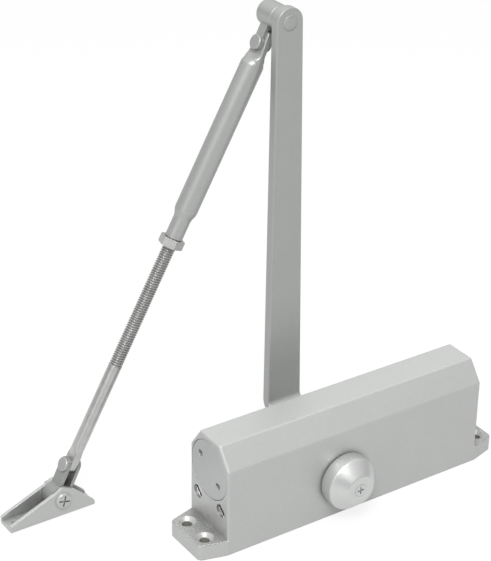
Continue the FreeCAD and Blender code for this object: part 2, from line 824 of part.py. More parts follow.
def make_piston():
    """The piston: a plunger with a flat planed underneath, a rack in it, a spring pocket and a check valve."""
    body = new_body("piston")
    blank = sketch_on(body, "X", "piston_left")
    circle(blank, "0", "bore_height", "piston_radius")
    pad(blank, "piston_right - piston_left")
    below = "(bore_height - bore_radius)"
    flat = sketch_on(body, "Y", "-bore_radius")
    rectangle(flat, "recess_left", "recess_right", below, "rack_tip")
    pocket(flat, "bore_size")
    slant = "tan(pressure_angle)"
    mouth = f"tooth_pitch / 4 + (rack_line - {below}) * {slant}"
    bottom = f"tooth_pitch / 4 - (rack_root - rack_line) * {slant}"
    first = "spindle_x - (rack_gaps - 2) * tooth_pitch"
    gap = sketch_on(body, "Y", "-bore_radius")
    polygon(
        gap,
        [
            (f"{first} - ({mouth})", below),
            (f"{first} + ({mouth})", below),
            (f"{first} + ({bottom})", "rack_root"),
            (f"{first} - ({bottom})", "rack_root"),
        ],
    )
    cut = pocket(gap, "bore_size")
    rack = body.newObject("PartDesign::LinearPattern", "rack_teeth")
    rack.Originals = [cut]
    rack.Direction = (gap, ["H_Axis"])
    rack.setExpression("Length", cells("(rack_gaps - 1) * tooth_pitch"))
    rack.setExpression("Occurrences", cells("rack_gaps"))
    body.Tip = rack
    for at, upwards, radius, depth in (
        ("piston_right", False, "spring_pocket / 2", "spring_pocket_depth"),
        ("piston_left", True, "check_bore / 2", "check_bore_depth"),
        ("check_seat", True, "check_port / 2", "piston_right - spring_pocket_depth - check_seat"),
    ):
        hole = sketch_on(body, "X", at)
        circle(hole, "0", "bore_height", radius)
        pocket(hole, depth, upwards)


def make_check_valve():
    """The piston's check valve: a ball on its port, a light spring and a drilled retainer."""
    ball = doc.addObject("Part::Sphere", "check_ball")
    ball.setExpression("Radius", cells("check_ball_size / 2"))
    ball.Placement = facing(X_AXIS, 0, "check_seat - check_lift", "0", "bore_height")
    spring_start = "check_seat - check_lift - check_ball_size / 2"
    retainer_start = "piston_left + check_retainer_length"
    make_spring(
        "check_spring",
        "check_wire",
        "check_spring_size",
        "check_spring_turns",
        retainer_start,
        spring_start,
    )
    retainer = ring(
        "check_retainer", "check_retainer_hole / 2", "check_bore / 2", "0", "check_retainer_length"
    )
    retainer.Placement = facing(Y_AXIS, 90, "piston_left", "0", "bore_height")


def make_spring(label, wire, outside, turns, start, end):
    """A coil spring along the cylinder's axis, between two places on it."""
    helix = doc.addObject("Part::Helix", f"{label}_path")
    height = f"({end}) - ({start}) - {wire}"
    helix.setExpression("Height", cells(height))
    helix.setExpression("Pitch", cells(f"({height}) / {turns}"))
    helix.setExpression("Radius", cells(f"({outside} - {wire}) / 2"))
    section = doc.addObject("Part::Circle", f"{label}_section")
    section.setExpression("Radius", cells(f"{wire} / 2"))
    section.Placement = facing(X_AXIS, 90, x=f"({outside} - {wire}) / 2")
    spring = doc.addObject("Part::Sweep", label)
    spring.Sections = [section]
    spring.Spine = (helix, [])
    spring.Solid = True
    spring.Frenet = True
    spring.Placement = facing(Y_AXIS, 90, f"{start} + {wire} / 2", "0", "bore_height")


def make_closing_springs():
    """Two nested springs that push the piston left, off the right plug."""
    pocket_bottom = "piston_right - spring_pocket_depth"
    for label, start in (("outer", "piston_right"), ("inner", pocket_bottom)):
        make_spring(
            f"{label}_spring",
            f"{label}_wire",
            f"{label}_spring_size",
            f"{label}_turns",
            start,
            "plug_inner",
        )


# Arm and elbow


def make_arm(linkage):
    """The main arm: a flat bar, cranked clear of the body, tapered from its hub to its rounded tip."""
    body = new_body("main_arm")
    low, high = "-arm_hub_radius - arm_thickness", "arm_length + arm_tip_radius + arm_thickness"
    front_bend, back_bend = "crank_start", "crank_start - crank_slip"
    strip = sketch_on(body, "X", "-arm_hub_radius - arm_thickness")
    polygon(
        strip,
        [
            ("hub_front", low),
            ("hub_back", low),
            ("hub_back", back_bend),
            ("arm_back", f"{back_bend} + crank_rise"),
            ("arm_back", high),
            ("arm_front", high),
            ("arm_front", f"{front_bend} + crank_rise"),
            ("hub_front", front_bend),
        ],
    )
    pad(strip, "2 * (arm_hub_radius + arm_thickness)")
    inner = (("hub_back", back_bend), ("arm_front", f"{front_bend} + crank_rise"))
    outer = (("hub_front", front_bend), ("arm_back", f"{back_bend} + crank_rise"))
    for radius, bends in (("crank_inner_round", inner), ("crank_outer_round", outer)):
        soften(body, radius, lambda edge, bends=bends: any(along_x(edge, y, z) for y, z in bends))
    outline = sketch_on(body, "Y", "hub_front - cut_margin")
    wide = "arm_hub_radius + 2 * arm_thickness"
    rectangle(outline, f"-({wide})", wide, f"{low} - arm_thickness", f"{high} + arm_thickness")
    stadium(outline, ("0", "0", "arm_hub_radius"), ("0", "arm_length", "arm_tip_radius"))
    pocket(outline, "arm_back - hub_front + 2 * cut_margin")
    soften(body, "arm_edge_round", lambda edge: edge.BoundBox.XLength < 1e-3 or not straight_across(edge))
    square = sketch_on(body, "Y", "hub_front - cut_margin")
    half = "square_size / 2"
    rectangle(square, f"-{half}", half, f"-{half}", half)
    pocket(square, "arm_thickness + 2 * cut_margin")
    hole = sketch_on(body, "Y", "arm_front - cut_margin")
    circle(hole, "0", "arm_length", "rivet_size / 2")
    pocket(hole, "arm_thickness + 2 * cut_margin")
    body.Placement = linkage.about_spindle()


def along_x(edge, y, z):
    """True for an edge that runs along X at two formulas."""
    middle = edge.CenterOfMass
    return edge.BoundBox.XLength > 1 and near(middle.y, y) and near(middle.z, z)


def along_y(edge, x, z):
    """True for an edge that runs along Y at two formulas."""
    middle = edge.CenterOfMass
    return edge.BoundBox.YLength > 1 and near(middle.x, x) and near(middle.z, z)


def straight_across(edge):
    """True for an edge that runs straight along X."""
    box = edge.BoundBox
    return box.YLength < 1e-3 and box.ZLength < 1e-3


def make_arm_fixing():
    """The screw and washer that hold the arm on the spindle's rear square."""
    frame = facing(X_AXIS, -90, "spindle_x", "0", "spindle_height")
    washer_back = "hub_back + arm_washer_thickness"
    clear = "arm_screw_size / 2 + side_gap"
    washer = ring("arm_washer", clear, "arm_washer_size / 2", "hub_back", washer_back)
    washer.Placement = frame
    screw = new_body("arm_screw")
    head = sketch_on(screw, "Z", washer_back)
    hexagon(head, "arm_screw_head")
    pad(head, "arm_screw_head_height")
    shank = sketch_on(screw, "Z", washer_back)
    circle(shank, "0", "0", "arm_screw_size / 2")
    pad(shank, f"{washer_back} - square_end + arm_screw_depth - side_gap", upwards=False)
    screw.Placement = frame


def make_elbow(linkage):
    """The rivet in the arm's tip, its washer, the forked knuckle on it and the pin through the fork."""
    shank, head, tail = "rivet_size / 2", "rivet_head / 2", "rivet_tail / 2"
    tail_end = "rivet_shank_end + rivet_tail_height"
    rivet = lathe(
        "elbow_rivet",
        [
            ("0", "arm_front - rivet_head_height"),
            (head, "arm_front - rivet_head_height"),
            (head, "arm_front"),
            (shank, "arm_front"),
            (shank, "rivet_shank_end"),
            (tail, "rivet_shank_end"),
            (tail, tail_end),
            ("0", tail_end),
        ],
    )
    soften(rivet, "rivet_head_height * 0.8", rim("arm_front - rivet_head_height", head))
    soften(rivet, "rivet_tail_height * 0.8", rim(tail_end, tail))
    rivet.Placement = linkage.at_rivet()
    washer = ring("elbow_washer", shank, "elbow_washer_size / 2", "arm_back", "elbow_washer_back")
    washer.Placement = linkage.at_rivet()
    make_knuckle(linkage)
    pin = headed_pin("elbow_pin", "fork_outer")
    pin.Placement = linkage.at_knuckle().multiply(
        facing(Y_AXIS, 90, z="-knuckle_reach")
    )


def make_knuckle(linkage):
    """A barrel on the rivet with a fork below it for the tube's tongue."""
    body = new_body("elbow_knuckle")
    barrel = sketch_on(body, "Y", "-knuckle_length / 2")
    circle(barrel, "0", "0", "knuckle_radius")
    pad(barrel, "knuckle_length")
    soften(body, "knuckle_edge", lambda edge: near(edge.Length, "2 * pi * knuckle_radius"))
    neck = sketch_on(body, "X", "-fork_outer")
    rectangle(neck, "-fork_neck / 2", "fork_neck / 2", "-knuckle_reach", "0")
    pad(neck, "2 * fork_outer")
    eyes = sketch_on(body, "X", "-fork_outer")
    circle(eyes, "0", "-knuckle_reach", "fork_eye")
    pad(eyes, "2 * fork_outer")
    slot_top = "tongue_swing + fork_gap - knuckle_reach"
    slot = sketch_on(body, "Y", "-knuckle_length")
    rectangle(slot, "-fork_inner", "fork_inner", "-knuckle_reach - 2 * fork_eye", slot_top)
    pocket(slot, "2 * knuckle_length")
    bore = sketch_on(body, "Y", "-knuckle_length")
    circle(bore, "0", "0", "rivet_size / 2 + running_gap")
    pocket(bore, "2 * knuckle_length")
    pin = sketch_on(body, "X", "-fork_outer - cut_margin")
    circle(pin, "0", "-knuckle_reach", "pin_size / 2")
    pocket(pin, "2 * fork_outer + 2 * cut_margin")
    body.Placement = linkage.at_knuckle()


def headed_pin(label, reach):
    """A pin along local Z through two walls, a reach either side: a round head below, a peened tail above."""
    shank, head = "pin_size / 2", "pin_head / 2"
    head_end, tail_end = f"-{reach} - pin_head_height", f"{reach} + pin_tail_height"
    tail = f"{shank} + pin_tail_height"
    pin = lathe(
        label,
        [
            ("0", head_end),
            (head, head_end),
            (head, f"-{reach}"),
            (shank, f"-{reach}"),
            (shank, reach),
            (tail, reach),
            (shank, tail_end),
            ("0", tail_end),
        ],
    )
    soften(pin, "pin_head_height * 0.6", rim(head_end, head))
    return pin


# Forearm


def make_tube(linkage):
    """The forearm's tube: flattened to a tongue at the elbow, necked down to the rod's thread below."""
    body = lathe(
        "forearm_tube",
        [
            ("0", "-tube_shoulder"),
            ("tube_size / 2", "-tube_shoulder"),
            ("tube_size / 2", "-neck_start"),
            ("neck_size / 2", "-neck_start - neck_taper"),
            ("neck_size / 2", "-tube_length"),
            ("rod_hole", "-tube_length"),
            ("rod_hole", "-neck_start - neck_taper"),
            ("tube_bore", "-neck_start"),
            ("tube_bore", "-tube_shoulder - tube_wall"),
            ("0", "-tube_shoulder - tube_wall"),
        ],
    )
    flatten(body, "tube_size", "tongue_thickness", "tongue_width", "-tube_shoulder", "-tongue_root")
    tongue = sketch_on(body, "X", "-tongue_thickness / 2")
    rectangle(tongue, "-tongue_width / 2", "tongue_width / 2", "-tongue_root", "tongue_end")
    pad(tongue, "tongue_thickness")
    soften(
        body,
        "tongue_corner",
        lambda edge: near(edge.BoundBox.XLength, "tongue_thickness") and near(edge.CenterOfMass.z, "tongue_end"),
    )
    drill_eye(body, "0", "tongue_thickness")
    body.Placement = linkage.at_tube()


def flatten(body, size, thickness, width, round_at, flat_at):
    """A pressed run from a round section at one height to a flat one at another."""
    sections = []
    for at, across, along in ((round_at, size, size), (flat_at, thickness, width)):
        sketch = sketch_on(body, "Z", at)
        if across == along:
            circle(sketch, "0", "0", f"{size} / 2")
        else:
            rectangle(sketch, f"-{across} / 2", f"{across} / 2", f"-{along} / 2", f"{along} / 2")
        sections.append(sketch)
    loft = body.newObject("PartDesign::AdditiveLoft", f"{body.Name}_flattened")
    loft.Profile = sections[0]
    loft.Sections = [sections[1]]
    loft.Ruled = True


def drill_eye(body, at, thickness):
    """A running hole for a pin through a flattened end."""
    hole = sketch_on(body, "X", f"-{thickness} / 2 - cut_margin")
    circle(hole, "0", at, "pin_hole")
    pocket(hole, f"{thickness} + 2 * cut_margin")


def make_rod(linkage):
    """The adjusting rod: a round bar that screws into the tube, flattened to an eye at its lower end."""
    body = new_body("adjusting_rod")
    eye_flat = "-forearm_length + eye_root"
    eye_round = "-forearm_length + eye_root + eye_taper"
    bar = sketch_on(body, "Z", "-rod_start")
    circle(bar, "0", "0", "rod_size / 2")
    pad(bar, f"-rod_start - ({eye_round})", upwards=False)
    flatten(body, "rod_size", "eye_thickness", "eye_width", eye_round, eye_flat)
    eye = sketch_on(body, "X", "-eye_thickness / 2")
    stadium(eye, ("0", "-forearm_length", "eye_width / 2"), ("0", eye_flat, "eye_width / 2"))
    pad(eye, "eye_thickness")
    drill_eye(body, "-forearm_length", "eye_thickness")
    body.Placement = linkage.at_tube()


def make_lock_nut(linkage):
    """The hexagon nut against the tube's neck, with its corners turned off at both faces."""
    body = new_body("lock_nut")
    blank = sketch_on(body, "Z", "-nut_start")
    hexagon(blank, "nut_across")
    pad(blank, "nut_thickness", upwards=False)
    hole = sketch_on(body, "Z", "-nut_start")
    circle(hole, "0", "0", "rod_hole")
    pocket(hole, "nut_thickness", upwards=False)
    outside, corner = "nut_across", "nut_corner / 2"
    top, bottom = "-nut_start", "-nut_start - nut_thickness"
    for face, sign in ((top, "-"), (bottom, "+")):
        sketch = sketch_on(body, "Y")
        slope = f"nut_corner_drop * (nut_across / ({corner}) - 1) * 4"
        polygon(sketch, [(corner, face), (outside, face), (outside, f"{face} {sign} {slope}")])
        groove = body.newObject("PartDesign::Groove", "lock_nut_groove")
        groove.Profile = sketch
        groove.ReferenceAxis = (sketch, ["V_Axis"])
        groove.Angle = 360
    body.Placement = linkage.at_tube().multiply(facing(Z_AXIS, number("nut_turn")))


# Shoe


def make_link(linkage):
    """The strap between rod and shoe: a loop on the axle's bush whose ends close on the rod's eye."""
    body = new_body("shoe_link")
    loop_outer = "link_loop / 2 + link_strap"
    top = "link_length + link_top"
    loop = sketch_on(body, "Y", "-link_half_width")
    circle(loop, "0", "0", loop_outer)
    pad(loop, "2 * link_half_width")
    legs = sketch_on(body, "Y", "-link_half_width")
    rectangle(legs, "-link_outer", "link_outer", "0", top)
    pad(legs, "2 * link_half_width")
    inside = sketch_on(body, "Y", "-shoe_inner_width")
    circle(inside, "0", "0", "link_loop / 2")
    pocket(inside, "2 * shoe_inner_width")
    gap = sketch_on(body, "Y", "-shoe_inner_width")
    rectangle(gap, "-link_inner", "link_inner", "0", f"{top} + cut_margin")
    pocket(gap, "2 * shoe_inner_width")
    soften(
        body,
        "link_half_width * 0.95",
        lambda edge: straight_across(edge) and near(edge.CenterOfMass.z, top),
    )
    holes = sketch_on(body, "X", "-link_outer - cut_margin")
    circle(holes, "0", "link_length", "pin_size / 2")
    pocket(holes, "2 * link_outer + 2 * cut_margin")
    body.Placement = linkage.at_link()
    pin = headed_pin("shoe_pin", "link_outer")
    pin.Placement = linkage.at_link().multiply(facing(Y_AXIS, 90, z="link_length"))


def make_shoe(linkage):
    """The channel bracket: two peaked walls on a drilled base, with the link's axle across them."""
    body = new_body("shoe_bracket")
    walls = sketch_on(body, "Y", "-shoe_outer")
    polygon(
        walls,
        [
            ("-shoe_left", "0"),
            ("shoe_right", "0"),
            ("shoe_right", "shoe_right_height"),
            ("shoe_peak * 0.75", "axle_height + shoe_peak * 0.62"),
            ("0", "axle_height + shoe_peak"),
            ("shoe_slope_run - shoe_left", "shoe_slope_height"),
            ("-shoe_left", "shoe_left_height"),
        ],
    )
    pad(walls, "2 * shoe_outer")
    soften(
        body,
        "shoe_peak / 2",
        lambda edge: edge.BoundBox.YLength > 1 and edge.CenterOfMass.z > number("axle_height"),
    )
    soften(body, "shoe_corner", lambda edge: along_y(edge, "shoe_right", "shoe_right_height"))
    soften(
        body,
        "shoe_bend",
        lambda edge: straight_across(edge) and near(edge.CenterOfMass.z, "0"),
    )
    channel = sketch_on(body, "Y", "-shoe_inner")
    rectangle(channel, "-2 * shoe_left", "2 * shoe_left", "shoe_base", "axle_height + 2 * shoe_peak")
    pocket(channel, "shoe_inner_width")
    axle = sketch_on(body, "Y", "-shoe_outer - cut_margin")
    circle(axle, "0", "axle_height", "axle_size / 2")
    pocket(axle, "2 * shoe_outer + 2 * cut_margin")
    holes = sketch_on(body, "Z", "shoe_base")
    for k in range(2):
        circle(holes, f"shoe_hole_edge - shoe_left + {k} * shoe_hole_pitch", "0", "shoe_hole / 2")
    pocket(holes, "shoe_base", upwards=False)
    body.Placement = linkage.at_shoe()
    make_axle(linkage)


def make_axle(linkage):
    """The shoe's axle: a cross-head screw through both walls, a bush between them and a nut behind."""
    frame = Placement(linkage.axle, Rotation(X_AXIS, 90))
    shank, head = "axle_size / 2", "axle_head / 2"
    head_end = "shoe_outer + axle_head_height"
    nut_end = "-shoe_outer - axle_nut_thickness"
    screw = lathe(
        "axle_screw",
        [
            ("0", nut_end),
            (shank, nut_end),
            (shank, "shoe_outer"),
            (head, "shoe_outer"),
            (head, head_end),
            ("0", head_end),
        ],
    )
    soften(screw, "axle_head_height * 0.7", rim(head_end, head))
    cross_recess(screw, head_end, "axle_cross")
    bush = ring("link_bush", shank, "link_loop / 2 - running_gap", "-shoe_inner", "shoe_inner")
    nut = new_body("axle_nut")
    blank = sketch_on(nut, "Z", "-shoe_outer")
    hexagon(blank, "axle_nut_across")
    circle(blank, "0", "0", shank)
    pad(blank, "axle_nut_thickness", upwards=False)
    screw.Placement = frame.multiply(facing(Z_AXIS, -number("axle_turn")))
    for piece in (bush, nut):
        piece.Placement = frame


def pieces():
    """Every sub-part: the bodies, the ball and the springs."""
    kinds = ("PartDesign::Body", "Part::Sphere", "Part::Sweep")
    return [item for item in doc.Objects if item.TypeId in kinds]


def check_and_write():
    """Stops on any failed object or bad shape, then writes one file for each sub-part."""
    doc.recompute()
    failed = [item.Label for item in doc.Objects if {"Invalid", "Error"} & set(item.State)]
    if failed:
        raise RuntimeError(f"these did not compute: {failed}")
    for piece in pieces():
        if piece.Shape.isNull() or not piece.Shape.isValid() or len(piece.Shape.Solids) != 1:
            raise RuntimeError(f"{piece.Label} is not one sound solid")
    os.makedirs("parts", exist_ok=True)
    for piece in pieces():
        piece.Shape.exportStep(os.path.join("parts", f"{piece.Label}.step"))


def main():
    """Builds the closer from its body outwards."""
    fill_sheet()
    linkage = Linkage()
    make_housing()
    make_end_plugs()
    make_valves()
    make_bearings()
    make_spindle()
    make_cap()
    make_piston()
    make_check_valve()
    make_closing_springs()
    make_arm(linkage)
    make_arm_fixing()
    make_elbow(linkage)
    make_tube(linkage)
    make_rod(linkage)
    make_lock_nut(linkage)
    make_link(linkage)
    make_shoe(linkage)
    check_and_write()


main()
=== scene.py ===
"""Looks of a surface-mounted hydraulic door closer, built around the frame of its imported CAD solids."""
import json
import logging
import math
from dataclasses import dataclass
from enum import Enum

import bmesh
import bpy
from mathutils import Matrix, Vector


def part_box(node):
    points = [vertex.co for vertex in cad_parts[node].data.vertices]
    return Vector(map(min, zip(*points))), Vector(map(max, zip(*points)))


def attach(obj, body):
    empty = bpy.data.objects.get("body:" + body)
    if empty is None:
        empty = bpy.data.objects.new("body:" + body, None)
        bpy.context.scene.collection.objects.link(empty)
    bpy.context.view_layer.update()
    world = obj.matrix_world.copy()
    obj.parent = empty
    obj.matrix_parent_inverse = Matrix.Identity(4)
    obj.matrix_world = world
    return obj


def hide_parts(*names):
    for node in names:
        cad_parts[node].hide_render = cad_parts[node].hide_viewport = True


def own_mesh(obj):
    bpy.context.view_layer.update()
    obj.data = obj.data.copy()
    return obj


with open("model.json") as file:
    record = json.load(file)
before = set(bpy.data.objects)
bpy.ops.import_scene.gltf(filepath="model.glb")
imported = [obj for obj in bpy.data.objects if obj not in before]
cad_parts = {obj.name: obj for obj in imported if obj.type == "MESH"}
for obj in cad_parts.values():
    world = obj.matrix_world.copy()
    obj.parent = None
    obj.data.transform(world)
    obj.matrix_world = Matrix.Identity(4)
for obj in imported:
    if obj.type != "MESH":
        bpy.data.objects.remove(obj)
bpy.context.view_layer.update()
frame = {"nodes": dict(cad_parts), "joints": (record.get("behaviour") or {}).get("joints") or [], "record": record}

MM = 0.001
QUARTER = math.radians(90)
JOINTS = {joint["name"]: joint for joint in frame["joints"]}
log = logging.getLogger("door_closer")

Socket = bpy.types.NodeSocket
Value = Socket | float
Colour = tuple[float, float, float]
Point = tuple[float, float, float]
Corners = tuple[tuple[float, float], ...]
Surface = tuple[Socket, Socket, Socket]


class Detail(Enum):
    """How fine a noise is."""

    SOFT = 2.0
    MIDDLE = 3.0
    FINE = 4.0


class Graph:
    """A node tree while it is being wired."""

    MIX_FACTOR, MIX_LOWER, MIX_UPPER, MIX_OUT = 0, 6, 7, 2

    def __init__(self, tree: bpy.types.NodeTree) -> None:
        """Keeps the tree that the calls add to."""
        self.tree = tree

    def feed(self, node: bpy.types.Node, inputs: dict) -> None:
        """Links or sets the inputs of a node.

        Args:
            node: the node.
            inputs: values or output sockets by input name or number.
        """
        for key, value in inputs.items():
            if isinstance(value, Socket):
                self.tree.links.new(value, node.inputs[key])
            else:
                node.inputs[key].default_value = value

    def add(self, kind: str, inputs: dict | None = None, **settings) -> bpy.types.Node:
        """Adds a node.

        Args:
            kind: the node's type without the ShaderNode prefix.
            inputs: values or output sockets by input name or number.
            settings: properties of the node itself.

        Returns:
            The new node.
        """
        node = self.tree.nodes.new(kind if kind.startswith("Node") else f"ShaderNode{kind}")
        for name, value in settings.items():
            setattr(node, name, value)
        self.feed(node, inputs or {})
        return node

    def math(self, operation: str, first: Value, second: Value = 0.0, clamp: bool = False) -> Socket:
        """One Math node on two values or sockets, and its output."""
        return self.add("Math", {0: first, 1: second}, operation=operation, use_clamp=clamp).outputs[0]

    def span(self, first: Socket, second: Socket) -> Socket:
        """The distance that two offsets at right angles make."""
        squares = (self.math("POWER", offset, 2.0) for offset in (first, second))
        return self.math("SQRT", self.math("ADD", *squares))

    def noise(self, point: Socket, scale: float, detail: Detail) -> Socket:
        """A noise around one half."""
        return self.add("TexNoise", {"Vector": point, "Scale": scale, "Detail": detail.value}).outputs[0]

    def centred(self, value: Socket) -> Socket:
        """A value around one half, moved to lie around zero."""
        return self.math("SUBTRACT", value, 0.5)

    def blend(self, factor: Value, first: Socket, second: Socket | tuple, mode: str = "MIX") -> Socket:
        """One colour Mix node.

        Args:
            factor: how much of the second colour shows.
            first: the lower colour.
            second: the upper colour.
            mode: the blend type.

        Returns:
            The mixed colour.
        """
        inputs = {self.MIX_FACTOR: factor, self.MIX_LOWER: first, self.MIX_UPPER: second}
        node = self.add("Mix", data_type="RGBA", blend_type=mode)
        self.feed(node, inputs)
        return node.outputs[self.MIX_OUT]

    def shade(self, colour: Socket, level: Socket) -> Socket:
        """A colour made darker or lighter by a level around one."""
        grey = self.add("CombineColor", {0: level, 1: level, 2: level}).outputs[0]
        return self.blend(1.0, colour, grey, "MULTIPLY")

    def object_point(self) -> Socket:
        """The point on the piece, in metres in the shared frame."""
        return self.add("TexCoord").outputs["Object"]


class Effect(Enum):
    """The surface effects that several finishes share, by the name of their node group."""

    FLAKE = "metal_flake"
    LINES = "fine_lines"
    # Painted shade in corners and recesses.
    CORNER_SHADE = "painted_corner_shade"
    # Rounded outer edges painted lighter: painted highlight and wear.
    WORN_AND_HIGHLIT = "worn_and_highlit_edges"


class EffectLibrary:
    """Builds each shared effect once and places it in the finishes."""

    CLOUD_SCALE = 42.0
    PEEL_SCALE = 1300.0
    STAIN_SCALE = 160.0
    PATCH_SCALE = 220.0
    FLAKE_RELIEF = 0.3
    SPARK_ON_ROUGHNESS = 0.5
    CLOUD_ON_ROUGHNESS = 0.6
    LINES_ON_ROUGHNESS = 0.5
    # How the painted corner shade fades and how many rays it takes.
    SHADE_FALL = 1.6
    SHADE_SAMPLES = 6
    EDGE_GAIN = 5.0
    EDGE_SAMPLES = 6
    OPEN_REACH = 2.0
    OPEN_FROM = 0.7
    OPEN_GAIN = 4.0
    OPEN_SAMPLES = 4

    def __init__(self) -> None:
        """Starts with no group built."""
        self.built: dict[Effect, bpy.types.NodeTree] = {}

    def place(self, graph: Graph, effect: Effect, inputs: dict) -> bpy.types.Node:
        """Puts one effect into a material.

        Args:
            graph: the material's tree.
            effect: which effect.
            inputs: its values by socket name.

        Returns:
            The group node.
        """
        makers = {
            Effect.FLAKE: self.flake,
            Effect.LINES: self.lines,
            Effect.CORNER_SHADE: self.shade_corners,
            Effect.WORN_AND_HIGHLIT: self.worn_and_highlit,
        }
        if effect not in self.built:
            self.built[effect] = makers[effect]()
        node = graph.add("Group")
        node.node_tree = self.built[effect]
        graph.feed(node, inputs)
        return node

    @staticmethod
    def shell(effect: Effect, inputs: dict[str, str], outputs: dict[str, str]) -> tuple:
        """An empty group with its sockets.

        Args:
            effect: the effect that the group is for.
            inputs: socket kinds by name, Color, Float or Vector.
            outputs: the same for what comes out.

        Returns:
            The graph, the inner input node's sockets and the inner output node.
        """
        tree = bpy.data.node_groups.new(effect.value, "ShaderNodeTree")
        for sockets, way in ((inputs, "INPUT"), (outputs, "OUTPUT")):
            for name, kind in sockets.items():
                tree.interface.new_socket(name, in_out=way, socket_type=f"NodeSocket{kind}")
        graph = Graph(tree)
        return graph, graph.add("NodeGroupInput").outputs, graph.add("NodeGroupOutput")

    def flake(self) -> bpy.types.NodeTree:
        """Aluminium flake in paint: a fine sparkle, a slow cloudiness and the spray's own relief."""
        graph, given, out = self.shell(
            Effect.FLAKE,
            {"Base": "Color", "Flake": "Float", "Sparkle": "Float", "Cloud": "Float", "Roughness": "Float"},
            {"Color": "Color", "Roughness": "Float", "Height": "Float"},
        )
        point = graph.object_point()
        cells = graph.add("TexVoronoi", {"Vector": point, "Scale": given["Flake"]}, feature="F1")
        grey = graph.add("SeparateColor", {"Color": cells.outputs["Color"]}).outputs[0]
        spark = graph.math("MULTIPLY", graph.centred(grey), given["Sparkle"])
        slow = graph.noise(point, self.CLOUD_SCALE, Detail.MIDDLE)
        cloud = graph.math("MULTIPLY", graph.centred(slow), given["Cloud"])
        level = graph.math("ADD", graph.math("ADD", spark, cloud), 1.0)
        rough = graph.math("ADD", given["Roughness"], graph.math("MULTIPLY", spark, self.SPARK_ON_ROUGHNESS))
        dulled = graph.math("MULTIPLY", cloud, self.CLOUD_ON_ROUGHNESS)
        peel = graph.noise(point, self.PEEL_SCALE, Detail.SOFT)
        graph.feed(out, {
            "Color": graph.shade(given["Base"], level),
            "Roughness": graph.math("SUBTRACT", rough, dulled, clamp=True),
            "Height": graph.math("ADD", peel, graph.math("MULTIPLY", grey, self.FLAKE_RELIEF)),
        })
        return graph.tree

    def lines(self) -> bpy.types.NodeTree:
        """Fine tool lines on bare or plated metal, stretched along one way."""
        graph, given, out = self.shell(
            Effect.LINES,
            {"Base": "Color", "Stretch": "Vector", "Contrast": "Float", "Roughness": "Float"},
            {"Color": "Color", "Roughness": "Float", "Height": "Float"},
        )
        point = graph.object_point()
        drawn = graph.add("VectorMath", {0: point, 1: given["Stretch"]}, operation="MULTIPLY").outputs[0]
        line = graph.noise(drawn, 1.0, Detail.FINE)
        stain = graph.noise(point, self.STAIN_SCALE, Detail.FINE)
        both = graph.math("ADD", graph.centred(line), graph.centred(stain))
        swing = graph.math("MULTIPLY", both, given["Contrast"])
        roughened = graph.math("MULTIPLY", swing, self.LINES_ON_ROUGHNESS)
        graph.feed(out, {
            "Color": graph.shade(given["Base"], graph.math("ADD", swing, 1.0)),
            "Roughness": graph.math("ADD", given["Roughness"], roughened, clamp=True),
            "Height": line,
        })
        return graph.tree

    def shade_corners(self) -> bpy.types.NodeTree:
        """Painted shade: corners, seams and recesses darkened by ambient occlusion, made patchy by a noise."""
        graph, given, out = self.shell(
            Effect.CORNER_SHADE,
            {"Base": "Color", "CornerShade": "Color", "Reach": "Float", "Amount": "Float"},
            {"Color": "Color"},
        )
        # Ambient occlusion darkens corners, seams and recesses: painted shade.
        corner = graph.add(
            "AmbientOcclusion", {"Distance": given["Reach"]}, samples=self.SHADE_SAMPLES, only_local=True,
        ).outputs["AO"]
        patch = graph.noise(graph.object_point(), self.PATCH_SCALE, Detail.MIDDLE)
        dark = graph.math("POWER", graph.math("SUBTRACT", 1.0, corner), self.SHADE_FALL)
        patchy = graph.math("MULTIPLY", dark, graph.math("ADD", patch, 0.5))
        mask = graph.math("MULTIPLY", patchy, given["Amount"], clamp=True)
        graph.feed(out, {"Color": graph.blend(mask, given["Base"], given["CornerShade"])})
        return graph.tree

    def worn_and_highlit(self) -> bpy.types.NodeTree:
        """Outer edges that are slightly rounded and painted lighter along them: painted highlight, and wear where
        the finish is rubbed thin.
        """
        graph, given, out = self.shell(
            Effect.WORN_AND_HIGHLIT,
            {"Base": "Color", "Bright": "Color", "Radius": "Float", "Amount": "Float"},
            {"Color": "Color", "Normal": "Vector"},
        )
        rounded = graph.add("Bevel", {"Radius": given["Radius"]}, samples=self.EDGE_SAMPLES).outputs[0]
        flat = graph.add("NewGeometry").outputs["Normal"]
        alike = graph.add("VectorMath", {0: rounded, 1: flat}, operation="DOT_PRODUCT").outputs["Value"]
        edge = graph.math("MULTIPLY", graph.math("SUBTRACT", 1.0, alike), self.EDGE_GAIN, clamp=True)
        reach = graph.math("MULTIPLY", given["Radius"], self.OPEN_REACH)
        clear = graph.add("AmbientOcclusion", {"Distance": reach}, samples=self.OPEN_SAMPLES).outputs["AO"]
        beyond = graph.math("SUBTRACT", clear, self.OPEN_FROM)
        outer = graph.math("MULTIPLY", beyond, self.OPEN_GAIN, clamp=True)
        # Outer edges painted lighter: painted highlight, and wear.
        mask = graph.math("MULTIPLY", graph.math("MULTIPLY", edge, outer), given["Amount"])
        graph.feed(out, {"Color": graph.blend(mask, given["Base"], given["Bright"]), "Normal": rounded})
        return graph.tree


EFFECTS = EffectLibrary()
# How much lighter the outer edges are painted: painted highlight, and wear where the finish is thin.
RUBBED_AND_HIGHLIT = 1.45
RELIEF_DEPTH = 0.00004


